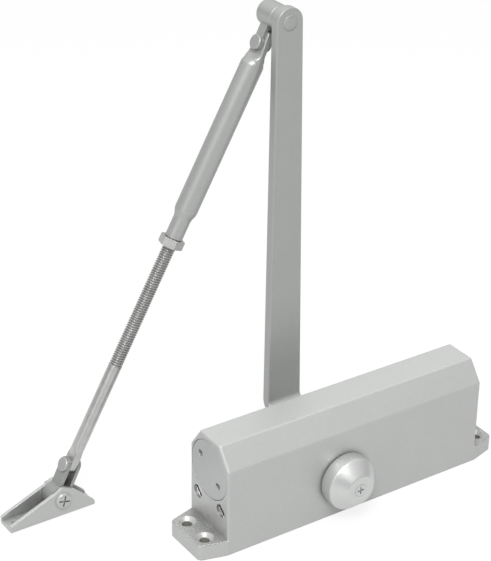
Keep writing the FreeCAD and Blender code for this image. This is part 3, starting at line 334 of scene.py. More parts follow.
@dataclass(frozen=True)
class Finish:
    """What every finish of the closer has in common."""

    name: str
    colour: Colour
    roughness: float
    metallic: float
    relief: float
    edge: float
    wear_and_highlight: float = 0.6
    gloss: float = 0.5

    def material(self) -> bpy.types.Material:
        """Builds the finish.

        Returns:
            A material whose colour, roughness and relief come from nodes.
        """
        made = bpy.data.materials.new(self.name)
        made.use_nodes = True
        graph = Graph(made.node_tree)
        shader = made.node_tree.nodes["Principled BSDF"]
        colour, roughness, height = self.surface(graph)
        # The outer edges get a lighter colour: painted highlight and wear.
        bright = (*(min(1.0, RUBBED_AND_HIGHLIT * part) for part in self.colour), 1.0)
        worn_and_highlit = EFFECTS.place(
            graph,
            Effect.WORN_AND_HIGHLIT,
            {"Base": colour, "Bright": bright, "Radius": self.edge, "Amount": self.wear_and_highlight},
        )
        bump = graph.add("Bump", {
            "Strength": self.relief, "Distance": RELIEF_DEPTH, "Height": height,
            "Normal": worn_and_highlit.outputs["Normal"],
        })
        graph.feed(shader, {
            "Metallic": self.metallic, "Specular IOR Level": self.gloss, "Base Color": worn_and_highlit.outputs["Color"],
            "Roughness": roughness, "Normal": bump.outputs[0],
        })
        return made

    def surface(self, graph: Graph) -> Surface:
        """The colour, roughness and height sockets of the finish."""
        raise NotImplementedError


@dataclass(frozen=True)
class SilverPaint(Finish):
    """Sprayed aluminium paint with a satin sheen."""

    sparkle: float = 0.10
    cloud: float = 0.06
    flake: float = 3200.0
    # Painted shade in corners and recesses: its amount, reach and colour.
    corner_shade: float = 0.35
    corner_shade_reach: float = 0.002
    corner_shade_colour: Colour = (0.10, 0.10, 0.095)

    def surface(self, graph: Graph) -> Surface:
        """Flake in the paint with painted shade in its corners."""
        flake = EFFECTS.place(
            graph,
            Effect.FLAKE,
            {
                "Base": (*self.colour, 1.0), "Flake": self.flake, "Sparkle": self.sparkle,
                "Cloud": self.cloud, "Roughness": self.roughness,
            },
        )
        shade_corners = EFFECTS.place(
            graph,
            Effect.CORNER_SHADE,
            {
                "Base": flake.outputs["Color"], "CornerShade": (*self.corner_shade_colour, 1.0),
                "Reach": self.corner_shade_reach, "Amount": self.corner_shade,
            },
        )
        return shade_corners.outputs["Color"], flake.outputs["Roughness"], flake.outputs["Height"]


@dataclass(frozen=True)
class CastingPaint(SilverPaint):
    """The body's paint, grainy on the flanges and thin in the four countersinks, with painted shade round the cap,
    on the flange tops and on the holes' walls.
    """

    sink_x: float = 0.1018
    sink_y: float = 0.0095
    sink_radius: float = 0.0053
    sink_lines: Point = (300.0, 300.0, 9000.0)
    sink_contrast: float = 0.3
    sink_roughness: float = 0.40
    hole_radius: float = 0.0031
    bare: Colour = (0.53, 0.53, 0.51)
    # The darkening of the holes' walls: painted shade.
    shaft_shade: Colour = (0.64, 0.63, 0.60)
    cap_x: float = -0.0107
    cap_z: float = 0.0248
    cap_radius: float = 0.0169
    front_y: float = -0.0195
    # A ring of painted shade on the front face round the cap: its width and darkness.
    halo: float = 0.005
    halo_shade: float = 0.30
    flange_x: float = 0.0931
    flange_top: float = 0.0094
    # How much darker the flange tops are painted: partly the rough casting's own tone, partly painted shade.
    flange_tone_and_shade: float = 0.21
    grain: float = 1500.0
    grain_contrast: float = 2.2
    grain_relief: float = 6.0

    def surface(self, graph: Graph) -> Surface:
        """Paint with bare metal in the countersinks, a grain on the flanges and painted shade round the cap, on
        the flange tops and on the holes' walls.
        """
        colour, roughness, height = super().surface(graph)
        point = graph.add("SeparateXYZ", {0: graph.object_point()}).outputs
        aside = graph.math("ABSOLUTE", point[0])
        on_flange = graph.math(
            "MULTIPLY",
            graph.math("GREATER_THAN", aside, self.flange_x),
            graph.math("GREATER_THAN", point[2], self.flange_top),
        )
        sand = graph.noise(graph.object_point(), self.grain, Detail.SOFT)
        speck = graph.math("MULTIPLY", graph.centred(sand), on_flange)
        level = graph.math("ADD", graph.math("MULTIPLY", speck, self.grain_contrast), 1.0)
        # Flange tops painted darker: partly the rough casting's own tone, partly painted shade.
        level = graph.math("SUBTRACT", level, graph.math("MULTIPLY", on_flange, self.flange_tone_and_shade))
        # Painted shade round the cap's foot.
        level = graph.math("SUBTRACT", level, self.cap_shade(graph, point))
        away = graph.span(
            graph.math("SUBTRACT", aside, self.sink_x),
            graph.math("SUBTRACT", graph.math("ABSOLUTE", point[1]), self.sink_y),
        )
        in_sink = graph.math("LESS_THAN", away, self.sink_radius)
        in_shaft = graph.math("LESS_THAN", away, self.hole_radius)
        metal = EFFECTS.place(
            graph,
            Effect.LINES,
            {
                "Base": (*self.bare, 1.0), "Stretch": self.sink_lines, "Contrast": self.sink_contrast,
                "Roughness": self.sink_roughness,
            },
        ).outputs
        # The through hole's wall is darkened: painted shade.
        shaded_shaft = graph.blend(1.0, metal["Color"], (*self.shaft_shade, 1.0), "MULTIPLY")
        mixed = graph.blend(in_sink, graph.shade(colour, level), metal["Color"])
        mixed = graph.blend(in_shaft, mixed, shaded_shaft)
        rough = graph.math(
            "ADD",
            graph.math("MULTIPLY", roughness, graph.math("SUBTRACT", 1.0, in_sink)),
            graph.math("MULTIPLY", metal["Roughness"], in_sink),
        )
        return mixed, rough, graph.math("ADD", height, graph.math("MULTIPLY", speck, self.grain_relief))

    def cap_shade(self, graph: Graph, point: bpy.types.NodeOutputs) -> Socket:
        """How much painted shade darkens the front face round the spindle cap.

        Args:
            graph: the material's tree.
            point: the coordinates of the surface.

        Returns:
            The loss of brightness, most at the cap's foot.
        """
        centre = graph.span(
            graph.math("SUBTRACT", point[0], self.cap_x), graph.math("SUBTRACT", point[2], self.cap_z),
        )
        away = graph.math("SUBTRACT", centre, self.cap_radius)
        near = graph.math("SUBTRACT", 1.0, graph.math("DIVIDE", away, self.halo), clamp=True)
        in_front = graph.math("LESS_THAN", point[1], self.front_y)
        ring_shade = graph.math("MULTIPLY", graph.math("POWER", near, 2.0), in_front)
        return graph.math("MULTIPLY", ring_shade, self.halo_shade)


@dataclass(frozen=True)
class WorkedMetal(Finish):
    """Plated, ground, drawn or turned metal with fine lines."""

    stretch: Point = (900.0, 900.0, 9000.0)
    contrast: float = 0.25
    # Painted shade in corners and recesses: its amount, reach and colour.
    corner_shade: float = 0.5
    corner_shade_reach: float = 0.0012
    corner_shade_colour: Colour = (0.03, 0.03, 0.03)

    def surface(self, graph: Graph) -> Surface:
        """Tool lines with painted shade in the recesses."""
        lines = EFFECTS.place(
            graph,
            Effect.LINES,
            {
                "Base": (*self.colour, 1.0), "Stretch": self.stretch, "Contrast": self.contrast,
                "Roughness": self.roughness,
            },
        )
        shade_corners = EFFECTS.place(
            graph,
            Effect.CORNER_SHADE,
            {
                "Base": lines.outputs["Color"], "CornerShade": (*self.corner_shade_colour, 1.0),
                "Reach": self.corner_shade_reach, "Amount": self.corner_shade,
            },
        )
        return shade_corners.outputs["Color"], lines.outputs["Roughness"], lines.outputs["Height"]


@dataclass(frozen=True)
class MouldedRubber(Finish):
    """Matt black sealing rubber."""

    mottle: float = 1800.0
    speckle: float = 0.1
    cloud: float = 0.3

    def surface(self, graph: Graph) -> Surface:
        """A faint mottle on black."""
        flake = EFFECTS.place(
            graph,
            Effect.FLAKE,
            {
                "Base": (*self.colour, 1.0), "Flake": self.mottle, "Sparkle": self.speckle,
                "Cloud": self.cloud, "Roughness": self.roughness,
            },
        )
        return flake.outputs["Color"], flake.outputs["Roughness"], flake.outputs["Height"]


FINISHES: dict[str, Finish] = {
    finish.name: finish
    for finish in (
        # The body's shade in corners reaches 20 mm and paints shade down the end face towards the flanges.
        CastingPaint(
            "body_paint", (0.555, 0.565, 0.555), roughness=0.42, metallic=0.35, relief=0.5, edge=0.0007,
            corner_shade=1.5, corner_shade_reach=0.020,
        ),
        SilverPaint(
            "plug_paint", (0.52, 0.53, 0.53), roughness=0.42, metallic=0.35, relief=0.5, edge=0.0003,
        ),
        SilverPaint(
            "cap_paint", (0.63, 0.64, 0.63), roughness=0.40, metallic=0.68, relief=0.2, edge=0.0003,
            sparkle=0.06,
        ),
        SilverPaint(
            "arm_paint", (0.41, 0.42, 0.41), roughness=0.40, metallic=0.3, relief=0.5, edge=0.0004,
        ),
        SilverPaint(
            "linkage_paint", (0.44, 0.45, 0.44), roughness=0.44, metallic=0.55, relief=0.4, edge=0.0003,
            wear_and_highlight=0.9, gloss=0.3, corner_shade=1.0, corner_shade_reach=0.008,
        ),
        SilverPaint(
            "bracket_paint", (0.54, 0.55, 0.54), roughness=0.38, metallic=0.45, relief=0.4, edge=0.0004,
            wear_and_highlight=0.9, corner_shade=0.9, corner_shade_reach=0.014,
        ),
        # A darker copy of linkage_paint for the link inside the bracket's channel, with strong shade in its
        # corners: painted shade.
        SilverPaint(
            "link_paint_shaded", (0.36, 0.37, 0.36), roughness=0.42, metallic=0.55, relief=0.4, edge=0.0003,
            wear_and_highlight=1.0, gloss=0.3, corner_shade=2.6, corner_shade_reach=0.009,
        ),
        # The valves' strong shade in corners paints their slots dark: painted shade.
        WorkedMetal(
            "valve_steel", (0.72, 0.72, 0.72), roughness=0.22, metallic=1.0, relief=0.3, edge=0.0002,
            corner_shade=1.6, corner_shade_reach=0.0025,
        ),
        WorkedMetal(
            "plated_steel", (0.51, 0.51, 0.50), roughness=0.36, metallic=0.85, relief=0.3, edge=0.0002,
            corner_shade=1.1,
        ),
        WorkedMetal(
            "machined_steel", (0.66, 0.66, 0.66), roughness=0.22, metallic=1.0, relief=0.3, edge=0.0002,
            corner_shade=1.0,
        ),
        WorkedMetal(
            "spring_steel", (0.20, 0.20, 0.21), roughness=0.38, metallic=1.0, relief=0.3, edge=0.0001,
        ),
        WorkedMetal(
            "bearing_bronze", (0.56, 0.38, 0.16), roughness=0.32, metallic=1.0, relief=0.3, edge=0.0002,
        ),
        MouldedRubber(
            "seal_rubber", (0.02, 0.02, 0.02), roughness=0.75, metallic=0.0, relief=0.6, edge=0.0002,
        ),
    )
}

OWN_FINISH = {
    "cap_screw": "cap_paint",
    "shoe_bracket": "bracket_paint",
    "axle_screw": "bracket_paint",
    "shoe_link": "link_paint_shaded",
    "closing_valve": "valve_steel",
    "latching_valve": "valve_steel",
}


class Paintbox:
    """Hands out one material for each finish."""

    def __init__(self, finishes: dict[str, Finish]) -> None:
        """Keeps the finishes by name."""
        self.finishes = finishes
        self.mixed: dict[str, bpy.types.Material] = {}

    def of(self, name: str) -> bpy.types.Material:
        """The material of a finish, made at its first use."""
        if name not in self.mixed:
            self.mixed[name] = self.finishes[name].material()
        return self.mixed[name]

    def dress_nodes(self) -> None:
        """Gives every CAD node its own finish, or else the one of its slot in the record."""
        for part in frame["record"]["subparts"]:
            node = frame["nodes"][part["node"]]
            if not node.material_slots:
                node.data.materials.append(None)
            for slot in node.material_slots:
                slot.material = self.of(OWN_FINISH.get(part["node"], part["material_slot"]))


WELD = 1e-7
CAD_WELD = 1e-6
THREAD_WELD = 2e-6


def piece_of(bm: bmesh.types.BMesh, name: str, smooth: float = 35.0) -> bpy.types.Object:
    """Turns a bmesh into a piece.

    Args:
        bm: the finished mesh, in place, which is freed.
        name: the piece's name.
        smooth: the angle in degrees past which an edge stays sharp.

    Returns:
        The linked object.
    """
    bmesh.ops.remove_doubles(bm, verts=bm.verts, dist=WELD)
    bmesh.ops.recalc_face_normals(bm, faces=bm.faces)
    for face in bm.faces:
        face.smooth = True
    for edge in bm.edges:
        edge.smooth = len(edge.link_faces) == 2 and edge.calc_face_angle(0.0) < math.radians(smooth)
    mesh = bpy.data.meshes.new(name)
    bm.to_mesh(mesh)
    bm.free()
    made = bpy.data.objects.new(name, mesh)
    bpy.context.scene.collection.objects.link(made)
    return made


def outline(bm: bmesh.types.BMesh, points: list[tuple[float, float]], closed: bool = True) -> list:
    """Draws a profile in the local XZ plane.

    Args:
        bm: the mesh that gets it.
        points: radius and height of each corner, in millimetres.
        closed: whether the last corner joins the first.

    Returns:
        The profile's vertices and edges.
    """
    corners = [bm.verts.new((r * MM, 0.0, h * MM)) for r, h in points]
    pairs = list(zip(corners, corners[1:] + corners[:1] if closed else corners[1:]))
    return corners + [bm.edges.new(pair) for pair in pairs]


def turned(points: list[tuple[float, float]], around: int, closed: bool = True) -> bmesh.types.BMesh:
    """Spins a profile once round the local Z axis.

    Args:
        points: radius and height of each corner, in millimetres.
        around: the number of steps in the full turn.
        closed: whether the last corner joins the first.

    Returns:
        The turned mesh.
    """
    bm = bmesh.new()
    bmesh.ops.spin(
        bm, geom=outline(bm, points, closed), cent=(0, 0, 0), axis=(0, 0, 1), angle=math.tau, steps=around,
        use_merge=True,
    )
    return bm


def cut_off(bm: bmesh.types.BMesh, at: Vector, normal: Vector, outer: bool) -> None:
    """Cuts a mesh at a plane and closes the cut.

    Args:
        bm: the mesh.
        at: a point on the plane.
        normal: the plane's normal.
        outer: whether the side that the normal points to is removed, or else the other one.
    """
    cut = bmesh.ops.bisect_plane(
        bm, geom=bm.verts[:] + bm.edges[:] + bm.faces[:], plane_co=at, plane_no=normal, clear_outer=outer,
        clear_inner=not outer,
    )
    rim = [item for item in cut["geom_cut"] if isinstance(item, bmesh.types.BMEdge)]
    bmesh.ops.edgeloop_fill(bm, edges=rim)


@dataclass
class SpindleCap:
    """The turned cap over the front end of the spindle, in millimetres.

    Each broken edge is a row of corners: how far in from its radius, and how far out along the axis.
    """

    radius: float = 16.9
    grip: float = 9.1
    length: float = 16.6
    face_radius: float = 9.3
    base_y: float = -20.6
    inner: float = 7.2
    socket: float = 4.4
    screw_head: float = 3.85
    screw_sink: float = 1.8
    screw_hole: float = 2.1
    foot_edge: Corners = ((0.8, 0.0), (0.15, 0.5), (0.0, 1.0))
    grip_edge: Corners = ((0.0, -0.7), (0.2, -0.2), (0.7, 0.3))
    face_edge: Corners = ((-0.5, -0.45), (0.0, -0.12), (0.5, 0.0))
    seat_edge: Corners = ((-0.3, 0.0), (0.0, -0.1))
    around: int = 128

    def build(self) -> bpy.types.Object:
        """Spins the cap's section, with its broken edges and its screw seat.

        Returns:
            The cap, in its place on the spindle.
        """
        edges = (
            (self.radius, 0.0, self.foot_edge), (self.radius, self.grip, self.grip_edge),
            (self.face_radius, self.length, self.face_edge), (self.screw_head, self.length, self.seat_edge),
        )
        section = [
            (self.inner, 0.0),
            *((radius - inset, height + rise) for radius, height, edge in edges for inset, rise in edge),
            (self.screw_hole, self.length - self.screw_sink), (self.screw_hole, self.socket),
            (self.inner, self.socket),
        ]
        bm = turned(section, self.around)
        at = Vector(JOINTS["spindle_turn"]["pos_m"])
        place = Matrix.Translation((at.x, self.base_y * MM, at.z)) @ Matrix.Rotation(QUARTER, 4, "X")
        bmesh.ops.transform(bm, matrix=place, verts=bm.verts)
        return piece_of(bm, "turned_cap")

    def dress(self, cap: bpy.types.Object, paints: Paintbox) -> None:
        """Paints the cap and sets it on the spindle."""
        cap.data.materials.append(paints.of("cap_paint"))
        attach(cap, "spindle")
        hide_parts("spindle_cap")


@dataclass
class ElbowRivet:
    """The rivet in the arm's tip, with a low dome at the front and a peened tail, in millimetres.

    The tail's edge is a row of corners: how far in from its radius, and how far short of its end.
    """

    shank: float = 3.5
    head: float = 4.6
    head_rise: float = 0.95
    head_rings: int = 9
    tail: float = 6.0
    front_y: float = 42.0
    tail_y: float = 65.2
    end_y: float = 67.4
    tail_edge: Corners = ((0.0, 1.43), (0.5, 0.66), (1.5, 0.1), (2.6, 0.0))
    around: int = 64
    smooth: float = 40.0

    def build(self) -> bpy.types.Object:
        """Spins the rivet's section about the elbow's axis.

        Returns:
            The rivet, in its place in the arm.
        """
        angles = [QUARTER * ring / self.head_rings for ring in range(1, self.head_rings)]
        section = [
            (0.0, self.front_y - self.head_rise),
            *((self.head * math.sin(a), self.front_y - self.head_rise * math.cos(a)) for a in angles),
            (self.head, self.front_y), (self.shank, self.front_y), (self.shank, self.tail_y),
            (self.tail, self.tail_y),
            *((self.tail - inset, self.end_y - short) for inset, short in self.tail_edge),
            (0.0, self.end_y),
        ]
        bm = turned(section, self.around, closed=False)
        at = Vector(JOINTS["elbow_turn"]["pos_m"])
        place = Matrix.Translation((at.x, 0.0, at.z)) @ Matrix.Rotation(-QUARTER, 4, "X")
        bmesh.ops.transform(bm, matrix=place, verts=bm.verts)
        return piece_of(bm, "domed_rivet", self.smooth)

    def dress(self, rivet: bpy.types.Object, paints: Paintbox) -> None:
        """Paints the rivet with the arm that it sits in."""
        rivet.data.materials.append(paints.of("arm_paint"))
        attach(rivet, "spindle")
        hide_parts("elbow_rivet")


class Forearm:
    """The frame of the forearm: its origin at the elbow pin, Z up the tube and X along the pin."""

    def __init__(self) -> None:
        """Reads the pin and the rod's way from the joints."""
        self.down = Vector(JOINTS["rod_adjust"]["axis"]).normalized()
        self.origin = Vector(JOINTS["tube_pin_turn"]["pos_m"])
        pin = Vector(JOINTS["tube_pin_turn"]["axis"]).normalized()
        side = (-self.down).cross(pin).normalized()
        turn = Matrix((pin, side, -self.down)).transposed().to_4x4()
        self.place = Matrix.Translation(self.origin) @ turn


@dataclass
class ForearmTube:
    """The forearm's tube, pressed flat at the elbow and necked down at the rod.

    Sizes are in millimetres from the pin. A section is its height, half thickness, half width and
    squareness, which is 2 for a round one.
    """

    forearm: Forearm
    radius: float = 6.75
    flat_half: float = 1.9
    tongue_half: float = 4.65
    tip: float = 7.6
    tip_edge: tuple[tuple[float, float, float, float], ...] = (
        (0.0, 0.3, 1.5, 3.0), (0.15, 0.0, 0.9, 4.0), (0.6, 0.0, 0.3, 5.0), (1.5, 0.0, 0.0, 6.0),
    )
    flare: Corners = ((3.0, 0.3), (0.0, 0.8), (-3.0, 1.3))
    root_flare: float = 1.6
    press_square: float = 6.0
    round_square: float = 2.0
    press_rounding: float = 1.6
    press_top: float = 5.5
    press_end: float = 13.0
    press_rings: int = 12
    neck_start: float = 104.5
    neck_end: float = 109.5
    neck_radius: float = 5.25
    neck_lead: float = 0.8
    shoulder_share: float = 0.25
    shoulder_drop: float = 0.3
    start_edge: tuple[float, float] = (0.2, 0.08)
    end_rise: float = 0.05
    length: float = 122.0
    mouth_edge: float = 0.3
    bore: float = 5.25
    bore_gap: float = 1.5
    rod_hole: float = 4.05
    hole_edge: float = 0.2
    eye: float = 2.55
    eye_sides: int = 40
    drill_length: float = 20.0
    around: int = 64
    smooth: float = 40.0

    def stations(self) -> list[tuple[float, float, float, float]]:
        """Lists the tube's sections from the tongue's tip to the neck's end and back up the bore.

        Returns:
            Height, half thickness, half width and squareness of each section.
        """
        flat, wide = self.flat_half, self.tongue_half
        rows = [
            (self.tip - down, flat - thin, wide - narrow, square)
            for down, thin, narrow, square in self.tip_edge
        ]
        rows += [(height, flat, wide + more, self.press_square) for height, more in self.flare]
        root = wide + self.root_flare
        for ring in range(self.press_rings + 1):
            share = ring / self.press_rings
            ease = share * share * (3.0 - 2.0 * share)
            rounding = min(1.0, self.press_rounding * share)
            rows.append((
                -self.press_top - share * (self.press_end - self.press_top),
                flat + ease * (self.radius - flat),
                root + share * (self.radius - root),
                self.press_square - (self.press_square - self.round_square) * rounding,
            ))
        return rows + [(-depth, radius, radius, self.round_square) for depth, radius in self.round_part()]

    def round_part(self) -> list[tuple[float, float]]:
        """Lists the round sections: down the neck's shoulder to the mouth, and back up the bore.

        Returns:
            Depth below the pin and radius of each section.
        """
        shoulder = self.shoulder_share * (self.neck_end - self.neck_start)
        edge_down, edge_in = self.start_edge
        return [
            (self.neck_start - self.neck_lead, self.radius),
            (self.neck_start + edge_down, self.radius - edge_in),
            (self.neck_start + shoulder, self.radius - self.shoulder_drop),
            (self.neck_end - shoulder, self.neck_radius + self.shoulder_drop),
            (self.neck_end, self.neck_radius + self.end_rise),
            (self.neck_end + self.neck_lead, self.neck_radius),
            (self.length - self.mouth_edge, self.neck_radius),
            (self.length, self.neck_radius - self.mouth_edge),
            (self.length, self.rod_hole + self.hole_edge),
            (self.length - self.hole_edge, self.rod_hole),
            (self.neck_end, self.rod_hole),
            (self.neck_start, self.bore),
            (self.press_end + self.bore_gap, self.bore),
        ]

    def build(self) -> bpy.types.Object:
        """Draws the tube out ring by ring and drills the tongue's eye.

        Returns:
            The tube, in its place.
        """
        bm = bmesh.new()
        ring = bmesh.ops.create_circle(bm, segments=self.around, radius=1.0)["verts"]
        turns = [math.atan2(vert.co.y, vert.co.x) for vert in ring]
        rim = bm.edges[:]
        for number, (height, half, wide, square) in enumerate(self.stations()):
            if number:
                grown = bmesh.ops.extrude_edge_only(bm, edges=rim)["geom"]
                fresh = {item for item in grown if isinstance(item, bmesh.types.BMVert)}
                rim = [e for e in grown if isinstance(e, bmesh.types.BMEdge) and set(e.verts) <= fresh]
                ring = [next(e.other_vert(v) for e in v.link_edges if e.other_vert(v) in fresh) for v in ring]
            for vert, turn in zip(ring, turns):
                across, along = math.cos(turn), math.sin(turn)
                vert.co = (
                    half * MM * math.copysign(abs(across) ** (2.0 / square), across),
                    wide * MM * math.copysign(abs(along) ** (2.0 / square), along),
                    height * MM,
                )
        bmesh.ops.holes_fill(bm, edges=[edge for edge in bm.edges if edge.is_boundary], sides=0)
        tube = self.drilled(piece_of(bm, "pressed_tube", self.smooth))
        tube.data.transform(self.forearm.place)
        return tube

    def drilled(self, tube: bpy.types.Object) -> bpy.types.Object:
        """Cuts the pin's hole through the tongue.

        The drill is turned by half a side, so that none of its corners falls on a ring of the tube.

        Args:
            tube: the tube in its own frame, with the pin along X.

        Returns:
            The same piece with its hole.
        """
        bm = bmesh.new()
        half_side = Matrix.Rotation(math.pi / self.eye_sides, 4, "Z")
        bmesh.ops.create_cone(
            bm, cap_ends=True, segments=self.eye_sides, radius1=self.eye * MM, radius2=self.eye * MM,
            depth=self.drill_length * MM, matrix=Matrix.Rotation(QUARTER, 4, "Y") @ half_side,
        )
        drill = piece_of(bm, "eye_drill")
        cut = tube.modifiers.new("eye", "BOOLEAN")
        cut.object, cut.operation, cut.solver = drill, "DIFFERENCE", "EXACT"
        bpy.context.view_layer.update()
        depsgraph = bpy.context.evaluated_depsgraph_get()
        shaped = bpy.data.meshes.new_from_object(tube.evaluated_get(depsgraph))
        tube.modifiers.clear()
        tube.data = shaped
        bpy.data.objects.remove(drill)
        return tube

    def dress(self, tube: bpy.types.Object, paints: Paintbox) -> None:
        """Paints the tube and hangs it on the elbow's pin."""
        tube.data.materials.clear()
        tube.data.materials.append(paints.of("linkage_paint"))
        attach(tube, "tube")
        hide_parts("forearm_tube")


@dataclass
class AdjustingRod:
    """The rod that sets the forearm's length: a rolled thread above, the CAD rod's shank and eye below.

    Sizes are in millimetres from the pin, and the tooth's corners are shares of the pitch.
    """

    forearm: Forearm
    top: float = 72.5
    thread_end: float = 206.3
    pitch: float = 1.5
    crest: float = 4.0
    root: float = 3.25
    tooth_start: float = 0.12
    crest_start: float = 0.46
    crest_end: float = 0.62
    tooth_end: float = 0.98
    overlap: float = 0.05
    spare_turns: int = 2
    steps: int = 20
    smooth: float = 40.0

    def build(self) -> bpy.types.Object:
        """Spins the thread and joins it to the lower end of the CAD rod.

        Returns:
            The rod, in its place.
        """
        bm = bmesh.new()
        turns = math.ceil((self.thread_end - self.top) / self.pitch) + self.spare_turns
        start = -self.thread_end - self.pitch
        tooth = [
            (radius, start + share * self.pitch)
            for radius, share in (
                (self.root, 0.0), (self.root, self.tooth_start), (self.crest, self.crest_start),
                (self.crest, self.crest_end), (self.root, self.tooth_end), (self.root, 1.0),
            )
        ]
        bmesh.ops.spin(
            bm, geom=outline(bm, tooth, closed=False), cent=(0, 0, 0), axis=(0, 0, 1),
            dvec=(0, 0, self.pitch * MM / self.steps), angle=math.tau * turns, steps=turns * self.steps,
        )
        bmesh.ops.remove_doubles(bm, verts=bm.verts, dist=THREAD_WELD)
        up = Vector((0, 0, 1))
        cut_off(bm, -self.top * MM * up, up, outer=True)
        cut_off(bm, -self.thread_end * MM * up, up, outer=False)
        bmesh.ops.transform(bm, matrix=self.forearm.place, verts=bm.verts)
        self.add_shank(bm)
        return piece_of(bm, "threaded_rod", self.smooth)

    def add_shank(self, bm: bmesh.types.BMesh) -> None:
        """Adds the plain shank and eye, cut from a copy of the CAD rod.

        Args:
            bm: the mesh that gets them.
        """
        shank = bmesh.new()
        shank.from_mesh(frame["nodes"]["adjusting_rod"].data)
        bmesh.ops.remove_doubles(shank, verts=shank.verts, dist=CAD_WELD)
        at = self.forearm.origin + self.forearm.down * (self.thread_end - self.overlap) * MM
        cut_off(shank, at, -self.forearm.down, outer=True)
        spare = bpy.data.meshes.new("shank_only")
        shank.to_mesh(spare)
        shank.free()
        bm.from_mesh(spare)
        bpy.data.meshes.remove(spare)

    def dress(self, rod: bpy.types.Object, paints: Paintbox) -> None:
        """Plates the rod and sets it in the tube."""
        rod.data.materials.append(paints.of("plated_steel"))
        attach(rod, "rod")
        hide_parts("adjusting_rod")


@dataclass
class ClosingSpring:
    """One of the two nested springs behind the piston, in millimetres.

    The stroke is the piston's travel and a little more; it is not used.
    """

    node: str
    wire: float
    size: float
    turns: float
    fixed_x: float = 80.7
    stroke: float = 31.52
    steps: int = 30
    wire_sides: int = 12
    smooth: float = 60.0

    def build(self) -> bpy.types.Object:
        """Spins the wire's round section along the coil.

        Returns:
            The spring, in its place in the cylinder.
        """
        low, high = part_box(self.node)
        middle = (low + high) / 2
        run = high.x - low.x - self.wire * MM
        bm = bmesh.new()
        ring = bmesh.ops.create_circle(bm, cap_ends=True, radius=self.wire / 2 * MM, segments=self.wire_sides)
        place = Matrix.Translation((low.x + self.wire / 2 * MM, 0.0, (self.size - self.wire) / 2 * MM))
        bmesh.ops.transform(bm, matrix=place @ Matrix.Rotation(QUARTER, 4, "X"), verts=ring["verts"])
        steps = round(self.steps * self.turns)
        bmesh.ops.spin(
            bm, geom=bm.verts[:] + bm.edges[:] + bm.faces[:], cent=(0, 0, 0), axis=(1, 0, 0),
            dvec=(run / steps, 0, 0), angle=math.tau * self.turns, steps=steps,
        )
        bmesh.ops.translate(bm, verts=bm.verts, vec=(0, middle.y, middle.z))
        return piece_of(bm, f"coiled_{self.node}", self.smooth)

    def dress(self, spring: bpy.types.Object, paints: Paintbox) -> None:
        """Oils the spring, hangs it on the housing and gives it a mesh of its own."""
        spring.data.materials.append(paints.of("spring_steel"))
        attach(spring, "housing")
        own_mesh(spring)
        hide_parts(self.node)


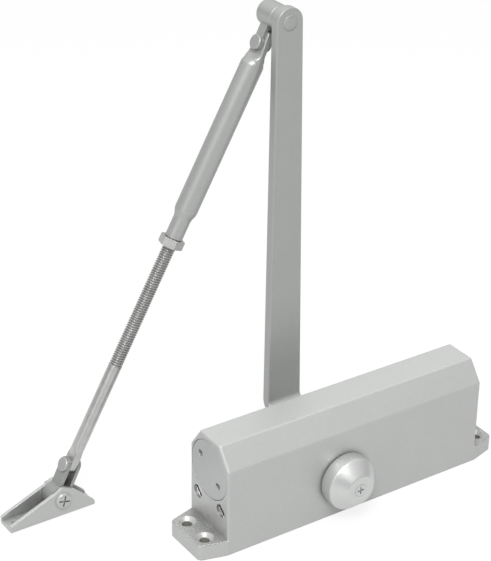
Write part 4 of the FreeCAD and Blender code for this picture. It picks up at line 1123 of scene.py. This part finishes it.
@dataclass
class Studio:
    """The white studio: floor, lamps and the camera of the view."""

    focal_px: float = 1794.917
    frame_height_px: float = 561.0
    sensor_mm: float = 36.0
    yaw: float = 0.5962
    pitch: float = 0.4865
    roll: float = 0.0150
    clip: tuple[float, float] = (0.01, 100.0)
    stand: Point = (-0.55906, -0.72145, 0.62546)
    floor_size: float = 30.0
    floor_tiles: int = 4
    floor_drop: float = 0.0002
    floor_glow: float = 0.82
    floor_matt: float = 0.95
    floor_dull: float = 0.30
    sky_top: Point = (0.06, 0.17, 0.984)
    sky_full: float = 0.7
    horizon: float = 0.16
    zenith: float = 0.93
    key_watts: float = 20.5
    key_size: float = 0.7
    key_place: Point = (-0.62, -0.86, 1.55)
    key_target: Point = (0.0, 0.0, 0.1)
    side_watts: float = 1.6
    side_size: float = 0.66
    side_place: Point = (-1.15, -0.42, 0.40)
    side_target: Point = (-0.05, 0.06, 0.2)

    def camera(self) -> None:
        """Sets the camera at the viewing angle."""
        level_way = math.cos(self.pitch)
        ahead = Vector((
            math.sin(self.yaw) * level_way, math.cos(self.yaw) * level_way, -math.sin(self.pitch),
        ))
        right = Vector((math.cos(self.yaw), -math.sin(self.yaw), 0.0))
        level = Matrix((right, right.cross(ahead), -ahead)).transposed().to_4x4()
        lens = bpy.data.cameras.new("view")
        lens.sensor_fit = "VERTICAL"
        lens.sensor_height = self.sensor_mm
        lens.lens = self.focal_px / self.frame_height_px * self.sensor_mm
        lens.clip_start, lens.clip_end = self.clip
        lens.dof.use_dof = False
        eye = bpy.data.objects.new("view", lens)
        eye.matrix_world = Matrix.Translation(self.stand) @ level @ Matrix.Rotation(self.roll, 4, "Z")
        bpy.context.scene.collection.objects.link(eye)
        bpy.context.scene.camera = eye

    def floor(self) -> None:
        """Lays a white floor that keeps the object's shadow."""
        bm = bmesh.new()
        tiles = self.floor_tiles
        bmesh.ops.create_grid(bm, x_segments=tiles, y_segments=tiles, size=self.floor_size / 2)
        bmesh.ops.translate(bm, verts=bm.verts, vec=(0, 0, -self.floor_drop))
        ground = piece_of(bm, "studio_floor")
        made = bpy.data.materials.new("studio_white")
        made.use_nodes = True
        graph = Graph(made.node_tree)
        made.node_tree.nodes.clear()
        matt, dull = (
            graph.add("BsdfDiffuse", {"Color": (grey, grey, grey, 1.0)})
            for grey in (self.floor_matt, self.floor_dull)
        )
        glow = graph.add("Emission", {"Color": (1.0, 1.0, 1.0, 1.0), "Strength": 1.0})
        white = graph.add("MixShader", {0: self.floor_glow, 1: matt.outputs[0], 2: glow.outputs[0]})
        both = graph.add("MixShader", {0: self.seen(graph), 1: dull.outputs[0], 2: white.outputs[0]})
        graph.add("OutputMaterial", {"Surface": both.outputs[0]})
        ground.data.materials.append(made)

    @staticmethod
    def seen(graph: Graph) -> Socket:
        """One where a ray comes from the eye, from gloss or through glass."""
        path = graph.add("LightPath").outputs
        first = graph.math("MAXIMUM", path["Is Camera Ray"], path["Is Glossy Ray"])
        return graph.math("MAXIMUM", first, path["Is Transmission Ray"])

    def world(self) -> None:
        """Lights the scene softly from all round, most from above and a little behind."""
        sky = bpy.data.worlds.new("studio")
        bpy.context.scene.world = sky
        sky.use_nodes = True
        graph = Graph(sky.node_tree)
        sky.node_tree.nodes.clear()
        way = graph.add("TexCoord").outputs["Generated"]
        height = graph.add("VectorMath", {0: way, 1: self.sky_top}, operation="DOT_PRODUCT").outputs["Value"]
        level = graph.add("MapRange", {
            "Value": height, "From Min": 0.0, "From Max": self.sky_full, "To Min": self.horizon,
            "To Max": self.zenith,
        }).outputs[0]
        soft = graph.add("Background", {"Color": (1.0, 1.0, 1.0, 1.0), "Strength": level})
        graph.add("OutputWorld", {"Surface": soft.outputs[0]})

    def lamp(self, name: str, place: Point, target: Point, size: float, watts: float) -> None:
        """Hangs one soft square lamp.

        Args:
            name: the lamp's name.
            place: where it hangs, in metres.
            target: the point that it faces.
            size: its width.
            watts: its power.
        """
        light = bpy.data.lights.new(name, "AREA")
        light.size = size
        light.energy = watts
        hung = bpy.data.objects.new(name, light)
        hung.location = place
        hung.rotation_euler = (Vector(target) - Vector(place)).to_track_quat("-Z", "Y").to_euler()
        bpy.context.scene.collection.objects.link(hung)

    def build(self) -> None:
        """Sets up the whole studio."""
        bpy.context.scene.view_settings.view_transform = "Standard"
        self.camera()
        self.floor()
        self.world()
        self.lamp("key", self.key_place, self.key_target, self.key_size, self.key_watts)
        self.lamp("side", self.side_place, self.side_target, self.side_size, self.side_watts)


def main() -> None:
    """Dresses the CAD nodes, builds the pieces in order and sets up the studio."""
    logging.basicConfig(level=logging.INFO, format="%(name)s: %(message)s")
    paints = Paintbox(FINISHES)
    paints.dress_nodes()
    forearm = Forearm()
    for part in (
        SpindleCap(),
        ElbowRivet(),
        ForearmTube(forearm),
        AdjustingRod(forearm),
        ClosingSpring("outer_spring", wire=4.4, size=31.0, turns=7.0),
        ClosingSpring("inner_spring", wire=2.6, size=15.0, turns=13.0),
    ):
        made = part.build()
        part.dress(made, paints)
        log.info("%s: %d faces", made.name, len(made.data.polygons))
    Studio().build()


if __name__ == "__main__":
    main()
